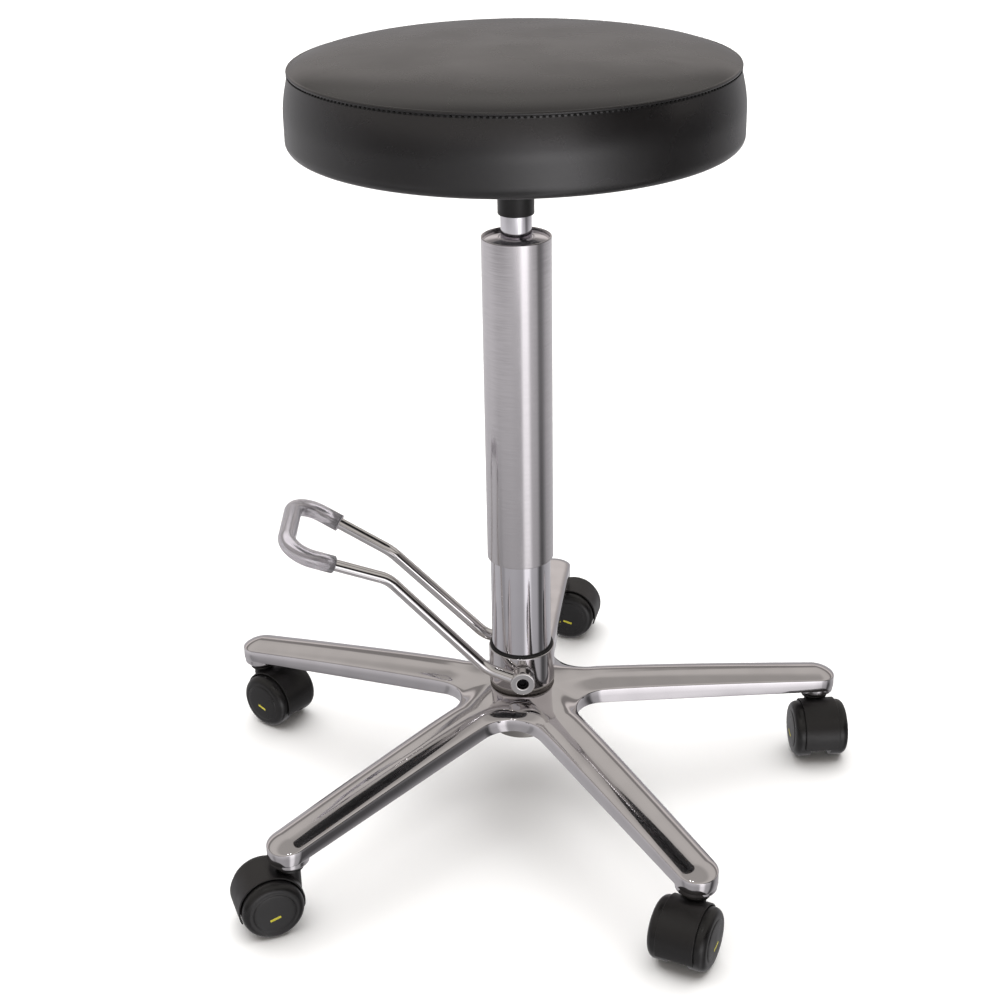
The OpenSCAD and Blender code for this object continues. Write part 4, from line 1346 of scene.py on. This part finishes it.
@dataclass
class Seat:
    """Round foam pad under vinyl, sewn along its upper edge and folded under a board."""

    seat_r: float = 175.0
    low: float = 577.5
    seam: float = 635.5
    # The top rises quickly behind the seam, then gently to the middle
    lip: float = 5.5
    lip_w: float = 13.0
    crown: float = 6.5
    crown_w: float = 55.0
    draw: float = 4.0
    ridge: float = 1.4
    edge_r: float = 7.0
    loose_w: float = 45.0
    board_r: float = 163.0
    board_low: float = 578.6
    board_t: float = 12.0
    board_gap: float = 0.3
    fold_w: float = 24.0
    fold_steps: int = 4
    plate_low: float = 574.5
    screw_x: float = 59.0
    stitch_mm: float = 4.2
    stitch_r: float = 0.6
    stitch_out: float = 0.75
    stitch_low: float = 2.15
    staple_r: float = 149.0
    staple_half: float = 5.0
    staple_turn: float = 78.0
    wire_half: float = 0.6
    sheet_gap: float = 0.4
    # The cloth hangs free between the plate and the fold
    sheet_free: tuple[float, float, float] = (108.0, 12.0, 8.0)
    sheet_sag: tuple[float, float] = (0.35, 0.25)
    voxel_mm: float = 5.0
    slack_mm: float = 3.0
    most_mm: float = 4.5
    held_low: float = 4.0
    held_seam: float = 5.0
    pressure: float = 4.0
    frames: int = 20
    probe_mm: float = 14.0
    probe_reach: float = 40.0
    swell_share: float = 0.25
    # Depth and width of the skin's own gentle waves
    drape: tuple[tuple[float, float], ...] = ((0.3, 70.0), (0.15, 34.0))
    smooth_passes: int = 6
    steps: int = 288

    def __post_init__(self) -> None:
        """Work out the radii of the seam's neck and of the dust cloth."""
        self.neck = self.seat_r - self.draw - self.ridge
        self.sheet_r = self.board_r - self.fold_w - self.sheet_gap

    def skin_line(self, top_steps: int = 46, side_steps: int = 26) -> list[Spot]:
        """Outline of the pad from the middle of the top to the fold under the board.

        Args:
            top_steps: steps along the top.
            side_steps: steps along the side.

        Returns:
            Radius, height and looseness of each point; a point at a seam or on the board has looseness 0.
        """
        line = []
        for k in range(top_steps):
            away = self.neck * (1 - k / top_steps) ** 1.6
            rise = self.lip * (1 - exp(-away / self.lip_w)) + self.crown * (1 - exp(-away / self.crown_w))
            line.append((self.neck - away, self.seam + self.ridge / 2 + rise, min(1.0, away / self.loose_w)))
        line += [(r, z, 0.0) for r, z in arc((self.neck, self.seam), self.ridge, 62, -70, 7)]
        top, bottom, start = self.seam - 1.5 * self.ridge, self.low + self.edge_r, self.neck + 0.35
        for k in range(side_steps + 1):
            t = (k / side_steps) ** 1.2
            swell = sin(pi / 2 * min(1.0, 1.6 * t))
            line.append((start + (self.seat_r - start) * swell, top + (bottom - top) * t,
                         min(1.0, 2.5 * t) * (1 - t) ** 0.5))
        line += [(r, z, 0.0) for r, z in arc((self.seat_r - self.edge_r, bottom), self.edge_r, 0, -90, 8)[1:]]
        return line + [(self.board_r - self.fold_w * k / self.fold_steps, self.low, 0.0)
                       for k in range(self.fold_steps + 1)]

    def slopes(self, line: Sequence[Spot]) -> list[Vector]:
        """Direction of the pad's outline.

        Args:
            line: the pad's outline.

        Returns:
            The direction outwards and upwards at each point, of length 1.
        """
        first, last = [line[0], *line[:-1]], [*line[1:], line[-1]]
        return [Vector((b[0] - a[0], b[1] - a[1])).normalized() for a, b in zip(first, last)]

    def swollen(self) -> BVHTree | None:
        """Blow the pad up as cloth, held along its seam and its board.
        """
        line = [(max(0.0, r - self.slack_mm), z - (self.slack_mm if z > self.seam else 0.0))
                for r, z, _ in self.skin_line(18, 10)]
        form = Shape().lathe(line + [(0.0, self.low)], 96).mesh("pad_form")
        pad = bpy.data.objects.new("pad_form", form)
        scene = bpy.context.scene
        scene.collection.objects.link(pad)
        remesh = pad.modifiers.new("voxels", "REMESH")
        remesh.mode = "VOXEL"
        remesh.voxel_size = self.voxel_mm * MM
        graph = bpy.context.evaluated_depsgraph_get()
        pad.data = bpy.data.meshes.new_from_object(pad.evaluated_get(graph), depsgraph=graph)
        pad.modifiers.clear()
        held = pad.vertex_groups.new(name="held")
        for v in pad.data.vertices:
            edge = hypot(hypot(v.co.x, v.co.y) - (self.seat_r - self.draw - self.slack_mm) * MM,
                         v.co.z - (self.seam - self.slack_mm) * MM)
            if v.co.z < (self.low + self.held_low) * MM or edge < self.held_seam * MM:
                held.add([v.index], 1.0, "REPLACE")
        cloth = pad.modifiers.new("swell", "CLOTH")
        cloth.settings.use_pressure = True
        cloth.settings.uniform_pressure_force = self.pressure
        cloth.settings.effector_weights.gravity = 0.0
        cloth.settings.vertex_group_mass = held.name
        cloth.point_cache.frame_start = 1
        cloth.point_cache.frame_end = self.frames
        for step in range(1, self.frames + 1):
            scene.frame_set(step)
        skin = BVHTree.FromObject(pad, bpy.context.evaluated_depsgraph_get())
        scene.frame_set(1)
        bpy.data.objects.remove(pad)
        return skin

    def offsets(self, line: Sequence[Spot]) -> list[list[float]]:
        """How far the skin stands off its outline at every point, from the swollen pad.

        Args:
            line: the pad's outline.

        Returns:
            For each point of the outline, the offset in millimetres at each step round the pad.
        """
        skin = self.swollen()
        rows = []
        for (r, z, loose), along in zip(line, self.slopes(line)):
            row = []
            for a in turns(self.steps):
                out, spot = polar(-along.y, a, along.x), polar(r, a, z)
                swell = 0.0
                if skin and loose > 0:
                    hit = skin.ray_cast((spot - out * self.probe_mm) * MM, out, self.probe_reach * MM)
                    if hit[0]:
                        swell = hit[3] / MM - self.probe_mm + self.slack_mm
                drape = sum(depth * noise.noise(spot / width) for depth, width in self.drape)
                capped = max(-self.most_mm, min(self.most_mm, swell))
                row.append((capped * self.swell_share + drape) * loose)
            rows.append(row)
        for _ in range(self.smooth_passes):
            rows = [[(2 * row[k] + row[k - 1] + row[(k + 1) % self.steps] + rows[max(0, i - 1)][k]
                      + rows[min(len(rows) - 1, i + 1)][k]) / 6 * (line[i][2] > 0)
                     for k in range(self.steps)] for i, row in enumerate(rows)]
        return rows

    def cover(self) -> Mesh:
        """Build the vinyl cover with its seam ridge.

        Returns:
            The closed mesh of the pad.
        """
        line = self.skin_line()
        shape = Shape()
        rings = []
        for (r, z, _), along, row in zip(line, self.slopes(line), self.offsets(line)):
            rings.append(shape.ring([polar(r - along.y * off, a, z + along.x * off)
                                     for off, a in zip(row, turns(self.steps))]))
        outer, top = self.board_r + self.board_gap, self.board_low + self.board_t
        for r, z in ((self.board_r - self.fold_w, self.board_low), (outer, self.board_low), (outer, top), (0.0, top)):
            rings.append(shape.ring([polar(r, a, z) for a in turns(self.steps)]))
        shape.skin(rings)
        return shape.mesh("seat_cushion_vinyl", 50)

    def stitches(self) -> Mesh:
        """Build the row of stitches under the ridge.

        Returns:
            The mesh of the whole row.
        """
        r = self.neck + self.stitch_out
        long, thick = 0.3 * self.stitch_mm, self.stitch_r
        bead = [(0.0, -long), (0.7 * thick, -0.8 * long), (thick, -0.3 * long), (thick, 0.3 * long),
                (0.7 * thick, 0.8 * long), (0.0, long)]
        lie = Matrix.Translation((r, 0, self.seam - self.stitch_low)) @ Matrix.Rotation(radians(90), 4, "X")
        return copies("seam_stitches", Shape().lathe(bead, 6, lie).mesh("stitch"), Finishes.THREAD, 60,
                      round(tau * r / self.stitch_mm), stray=0.0006, seed=7)

    def screws(self) -> Mesh:
        """Build the four screws that hold the plate to the board.

        Returns:
            The mesh of all four heads.
        """
        head = socket_head(6.0, 0.0, 3.6, 2.25, 2.5)
        place = Matrix.Translation((self.screw_x, self.screw_x, self.plate_low)) @ Matrix.Rotation(pi, 4, "X")
        return copies("plate_screw_heads", Shape().lathe(head, 48, place).mesh("plate_screw", 25),
                      Finishes.BLACK_STEEL, 25, 4, seed=3)

    def staples(self) -> Mesh:
        """Build the staples that hold the folded cover to the board.

        Returns:
            The mesh of all staples.
        """
        bar = block(-self.staple_half, self.staple_half, -self.wire_half, self.wire_half, 0.4, 2)
        lie = Matrix.Translation((self.staple_r, 0, self.low)) @ Matrix.Rotation(radians(self.staple_turn), 4, "Z")
        one = Shape().loft([[lie @ Vector((x, y, z)) for x, y in bar] for z in (-0.55, 0.2)])
        return copies("cover_staples", one.mesh("staple"), Finishes.ZINC, 30, 44, stray=0.02, seed=11)

    def dust_sheet(self) -> Mesh:
        """Build the dust cloth under the board.

        Returns:
            The mesh of the cloth, a single layer.
        """
        start, in_w, out_w = self.sheet_free
        shape = Shape()
        rings = []
        for i in range(25):
            r = self.sheet_r * i / 24
            free = max(0.0, min(1.0, (r - start) / in_w, (self.sheet_r - r) / out_w))
            sags = [free * (self.sheet_sag[0] + self.sheet_sag[1] * noise.noise(polar(2.5, a, r / 30)))
                    for a in turns(96)]
            rings.append(shape.ring([polar(r, a, self.board_low - self.board_gap - sag)
                                     for a, sag in zip(turns(96), sags)]))
        shape.skin(rings)
        return shape.mesh("dust_cloth_sheet", 60)

    def build(self) -> None:
        """Put the seat on the stool."""
        pad = piece("seat_cushion_vinyl", self.cover(), Finishes.VINYL, "seat", "cushion")
        # The stitches are dead black: black thread, and painted shade for the holes they sit in
        piece("seam_stitches", self.stitches(), Finishes.THREAD, "seat")
        piece("plate_screw_heads", self.screws(), Finishes.BLACK_STEEL, "seat", "plate_screws")
        piece("cover_staples", self.staples(), Finishes.ZINC, "seat")
        sheet = piece("dust_cloth_sheet", self.dust_sheet(), Finishes.CLOTH, "seat", "dust_cover")


@dataclass
class ReturnSpring:
    """Coil that lifts the lever again, under the gas cylinder's seat."""

    coil_r: float = 7.5
    wire_r: float = 0.6
    bend_r: float = 6.0
    turns: int = 3
    steps: int = 24
    travel: float = 2.6

    def build(self) -> None:
        """Put the coil on the release, between the tappet and the cylinder's seat."""
        foot, head = (corner[2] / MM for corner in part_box("return_spring"))
        count = self.turns * self.steps
        pitch = (head - foot - 2 * self.wire_r) / count
        points = [polar(self.coil_r, tau * k / self.steps, foot + self.wire_r + pitch * k) for k in range(count + 1)]
        mesh = bent_bar("return_spring_coil", points, [self.bend_r] * len(points), self.wire_r, 12, 1, Finishes.ZINC)
        coil = piece("return_spring_coil", mesh, Finishes.ZINC, "release", "return_spring")
        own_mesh(coil)


def dress_insides() -> None:
    """Give every CAD node that still shows the finish of what it is made of."""
    groups = {
        Finishes.ZINC: ["hub_bolt", "hub_washer", "caster_stems", "stem_rings", "cylinder_seat", "cross_shaft",
                        "release_tappet", *[f"caster_axle_{i}" for i in range(1, 6)]],
        Finishes.BRONZE: ["pivot_bushes", "thrust_washer"],
        Finishes.ACETAL: ["tube_guide", "cover_guide"],
        Finishes.BLACK_STEEL: ["gas_cylinder", "rod_clip", "seat_plate"],
        Finishes.NYLON: ["cylinder_gland", "piston"],
        Finishes.CHROME: ["piston_rod", "release_pin"],
        Finishes.PLY: ["seat_board"],
    }
    for finish, names in groups.items():
        for name in names:
            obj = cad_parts[name]
            obj.data.materials.clear()
            obj.data.materials.append(finish.value.material())
        LOG.info("%s: %s", finish.value.title, ", ".join(names))


@dataclass
class Studio:
    """Pale floor, soft light and the camera, and a room of walls, panels and dark gaps for the metal to mirror."""

    eye: Spot = (0.16644, -1.32846, 0.90267)
    yaw: float = -0.137
    pitch: float = 0.4396
    roll: float = -0.0185
    focal_px: float = 1765.05
    image_px: float = 1000.0
    sensor_mm: float = 36.0
    floor_m: float = 60.0
    # Brightness round the room by the angle from the front, in degrees, at three heights of the walls
    wall_foot: Stops = (
        (-180, 0.62), (-118, 0.58), (-92, 0.57), (-76, 0.5), (-69, 0.36), (-60, 0.36), (-54, 0.48), (-20, 0.51),
        (8, 0.46), (16, 0.5), (25, 1.2), (39, 1.2), (50, 0.55), (72, 0.46), (83, 0.1), (92, 0.1), (104, 0.28),
        (112, 0.42), (132, 0.52), (180, 0.62))
    wall_middle: Stops = (
        (-180, 0.62), (-118, 0.6), (-92, 0.6), (-60, 0.53), (-20, 0.53), (8, 0.47), (16, 0.5), (25, 1.15),
        (40, 1.15), (50, 0.56), (72, 0.44), (82, 0.17), (92, 0.17), (104, 0.3), (112, 0.42), (132, 0.52),
        (180, 0.62))
    wall_head: Stops = (
        (-180, 0.42), (-150, 0.5), (-110, 0.54), (-82, 0.4), (-62, 0.2), (-40, 0.2), (-24, 0.42), (-5, 0.85),
        (8, 1.7), (16, 2.3), (34, 2.3), (48, 1.4), (62, 0.4), (80, 0.1), (112, 0.12), (130, 0.3),
        (151, 0.45), (180, 0.42))
    # Brightness of the ceiling by height, which is the sine of the elevation here and below
    ceiling: Stops = (
        (-1.0, 0.42), (0.1, 0.42), (0.17, 0.5), (0.21, 0.76), (0.28, 0.76), (0.35, 0.26), (0.44, 0.26),
        (0.48, 0.58), (0.64, 0.62), (0.76, 0.6), (0.86, 0.42), (1.0, 0.42))
    # Where a dark skirting shows ahead, and where a dark doorway stands
    skirting: Stops = ((-180, 0.0), (-34, 0.0), (-14, 1.0), (70, 1.0), (95, 0.0), (180, 0.0))
    doorway: Stops = ((-180, 1.0), (36, 1.0), (42, 0.06), (84, 0.06), (92, 1.0), (180, 1.0))
    # Heights between which one part passes into the next
    foot_to_middle: tuple[float, float] = (-0.45, -0.38)
    middle_to_head: tuple[float, float] = (-0.29, -0.26)
    head_to_ceiling: tuple[float, float] = (0.08, 0.16)
    door_foot: tuple[float, float] = (0.0, 0.05)
    door_head: tuple[float, float] = (0.4, 0.46)
    # The walls get brighter upwards between these heights, by these factors
    gain_z: tuple[float, float] = (-0.5, -0.2)
    gain: tuple[float, float] = (0.85, 1.5)
    skirting_z: float = 0.01
    skirting_half: tuple[float, float] = (0.025, 0.07)
    skirting_share: float = 0.8
    skirting_colour: tuple[float, float, float, float] = (0.05, 0.048, 0.045, 1.0)

    def camera(self) -> None:
        """Set the camera at the photograph's angle."""
        ahead = Vector((sin(self.yaw) * cos(self.pitch), cos(self.yaw) * cos(self.pitch), -sin(self.pitch)))
        right = ahead.cross(Vector((0, 0, 1))).normalized()
        up = right.cross(ahead)
        across = right * cos(self.roll) + up * sin(self.roll)
        upright = up * cos(self.roll) - right * sin(self.roll)
        data = bpy.data.cameras.new("camera")
        data.sensor_width = self.sensor_mm
        data.lens = self.focal_px / self.image_px * self.sensor_mm
        camera = bpy.data.objects.new("camera", data)
        turn = Matrix((across, upright, -ahead)).transposed().to_4x4()
        camera.matrix_world = Matrix.Translation(self.eye) @ turn
        bpy.context.scene.collection.objects.link(camera)
        bpy.context.scene.camera = camera

    def floor(self) -> None:
        """Lay the pale floor, which mirrors don't show: they see the studio below the horizon instead."""
        half = self.floor_m / 2
        mesh = bpy.data.meshes.new("floor")
        mesh.from_pydata([(-half, -half, 0), (half, -half, 0), (half, half, 0), (-half, half, 0)], [],
                         [(0, 1, 2, 3)])
        paper = bpy.data.materials.new("white_backdrop_paper")
        paper.use_nodes = True
        shader = paper.node_tree.nodes["Principled BSDF"]
        shader.inputs["Base Color"].default_value = linear("#f4f4f4")
        shader.inputs["Roughness"].default_value = 0.9
        shader.inputs["Specular IOR Level"].default_value = 0.0
        mesh.materials.append(paper)
        floor = bpy.data.objects.new("floor", mesh)
        bpy.context.scene.collection.objects.link(floor)
        floor.visible_glossy = False

    def levels(self, tree: Tree, share: Socket, stops: Stops, tint: Spot = COOL) -> Socket:
        """Brightness of the studio along one way through it.

        Args:
            tree: the world's tree.
            share: place along the way, from 0 to 1.
            stops: place and brightness of each stop; the first place is the negative of the last.
            tint: colour of the light.

        Returns:
            The colour there.
        """
        node = add(tree, "ShaderNodeValToRGB", {0: share})
        reach = stops[-1][0]
        while len(node.color_ramp.elements) < len(stops):
            node.color_ramp.elements.new(0.5)
        for element, (place, level) in zip(node.color_ramp.elements, stops):
            element.position = (place + reach) / (2 * reach)
            element.color = (*(level * part for part in tint), 1.0)
        return node.outputs[0]

    def blend(self, tree: Tree, height: Socket, band: tuple[float, float], below: Socket, above: Socket) -> Socket:
        """Pass from one part of the studio to the part above it.

        Args:
            tree: the world's tree.
            height: height of the direction, from -1 to 1.
            band: heights between which the parts mix.
            below: colour of the lower part.
            above: colour of the upper part.

        Returns:
            The mixed colour.
        """
        share = add(tree, "ShaderNodeMapRange", {"Value": height, "From Min": band[0], "From Max": band[1]},
                    interpolation_type="SMOOTHSTEP").outputs[0]
        return add(tree, "ShaderNodeMix", {0: share, 6: below, 7: above}, data_type="RGBA").outputs[2]

    def surroundings(self) -> None:
        """Build the room that the metal reflects: walls with a bright panel, skirting, doorway and ceiling."""
        world = bpy.data.worlds.new("studio")
        bpy.context.scene.world = world
        world.use_nodes = True
        tree = world.node_tree
        tree.nodes.clear()
        way = add(tree, "ShaderNodeTexCoord").outputs["Generated"]
        axis = add(tree, "ShaderNodeSeparateXYZ", {0: way}).outputs
        z = axis["Z"]
        front = add(tree, "ShaderNodeMath", {0: axis["Y"], 1: -1.0}, operation="MULTIPLY").outputs[0]
        turn = add(tree, "ShaderNodeMath", {0: axis["X"], 1: front}, operation="ARCTAN2").outputs[0]
        share = add(tree, "ShaderNodeMapRange", {"Value": turn, "From Min": -pi, "From Max": pi}).outputs[0]
        rise = add(tree, "ShaderNodeMapRange", {"Value": z, "From Min": -1.0, "From Max": 1.0}).outputs[0]
        foot, middle, head, ahead, door = (self.levels(tree, share, stops) for stops in (
            self.wall_foot, self.wall_middle, self.wall_head, self.skirting, self.doorway))
        ceiling = self.levels(tree, rise, self.ceiling, WARM)
        gain = add(tree, "ShaderNodeMapRange", {
            "Value": z, "From Min": self.gain_z[0], "From Max": self.gain_z[1],
            "To Min": self.gain[0], "To Max": self.gain[1]}).outputs[0]
        near = self.blend(tree, z, self.foot_to_middle, foot, middle)
        scaled = add(tree, "ShaderNodeVectorMath", {0: near, 3: gain}, operation="SCALE").outputs[0]
        walls = self.blend(tree, z, self.middle_to_head, scaled, head)
        level = add(tree, "ShaderNodeMath", {0: z, 1: -self.skirting_z}, operation="ADD").outputs[0]
        away = add(tree, "ShaderNodeMath", {0: level}, operation="ABSOLUTE").outputs[0]
        edge = add(tree, "ShaderNodeMapRange", {
            "Value": away, "From Min": self.skirting_half[0], "From Max": self.skirting_half[1],
            "To Min": self.skirting_share, "To Max": 0.0}, interpolation_type="SMOOTHSTEP").outputs[0]
        seam = add(tree, "ShaderNodeMath", {0: edge, 1: ahead}, operation="MULTIPLY").outputs[0]
        skirted = add(tree, "ShaderNodeMix", {0: seam, 6: walls, 7: self.skirting_colour},
                      data_type="RGBA").outputs[2]
        whole = self.blend(tree, z, self.head_to_ceiling, skirted, ceiling)
        dark = add(tree, "ShaderNodeVectorMath", {0: whole, 1: door}, operation="MULTIPLY").outputs[0]
        opened = self.blend(tree, z, self.door_foot, whole, dark)
        room = self.blend(tree, z, self.door_head, opened, whole)
        seen = add(tree, "ShaderNodeLightPath").outputs["Is Camera Ray"]
        shown = add(tree, "ShaderNodeMix", {0: seen, 6: room, 7: (1.0, 1.0, 1.0, 1.0)}, data_type="RGBA").outputs[2]
        back = add(tree, "ShaderNodeBackground", {"Color": shown, "Strength": 1.0}).outputs[0]
        add(tree, "ShaderNodeOutputWorld", {"Surface": back})

    def lamp(self, name: str, kind: str, spot: Spot, power: float, size: float) -> None:
        """Hang a lamp that shines at the stool.

        Args:
            name: the lamp's name.
            kind: "SUN" or "AREA".
            spot: where it hangs, in metres.
            power: its strength.
            size: its width in metres, or for a sun its angle in degrees.
        """
        data = bpy.data.lights.new(name, kind)
        data.energy = power
        if kind == "SUN":
            data.angle = radians(size)
        else:
            data.size = size
        lamp = bpy.data.objects.new(name, data)
        lamp.location = spot
        lamp.rotation_euler = (Vector((0, 0, 0.1)) - Vector(spot)).to_track_quat("-Z", "Y").to_euler()
        lamp.visible_camera = False
        lamp.visible_glossy = kind == "AREA"
        bpy.context.scene.collection.objects.link(lamp)

    def build(self) -> None:
        """Set up the studio."""
        self.camera()
        self.floor()
        self.surroundings()
        self.lamp("overhead_softbox", "SUN", (-0.2, 0.7, 2.2), 3.9, 90.0)
        self.lamp("front_lamp_left", "AREA", (-0.25, -1.15, 2.0), 0.4, 0.07)
        self.lamp("front_lamp_right", "AREA", (0.05, -1.15, 2.0), 0.4, 0.07)
        bpy.context.scene.view_settings.view_transform = "Standard"
        LOG.info("studio ready")


def main() -> None:
    """Build the stool on its frame."""
    logging.basicConfig(level=logging.INFO, format="%(message)s")
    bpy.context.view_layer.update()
    Studio().build()
    StarBase().build()
    Column().build()
    FootLever().build()
    for number, turn in enumerate((281.0, -6.0, -30.0, 208.0, 251.0), 1):
        Caster(number, turn).build()
    Seat().build()
    ReturnSpring().build()
    dress_insides()


if __name__ == "__main__":
    main()
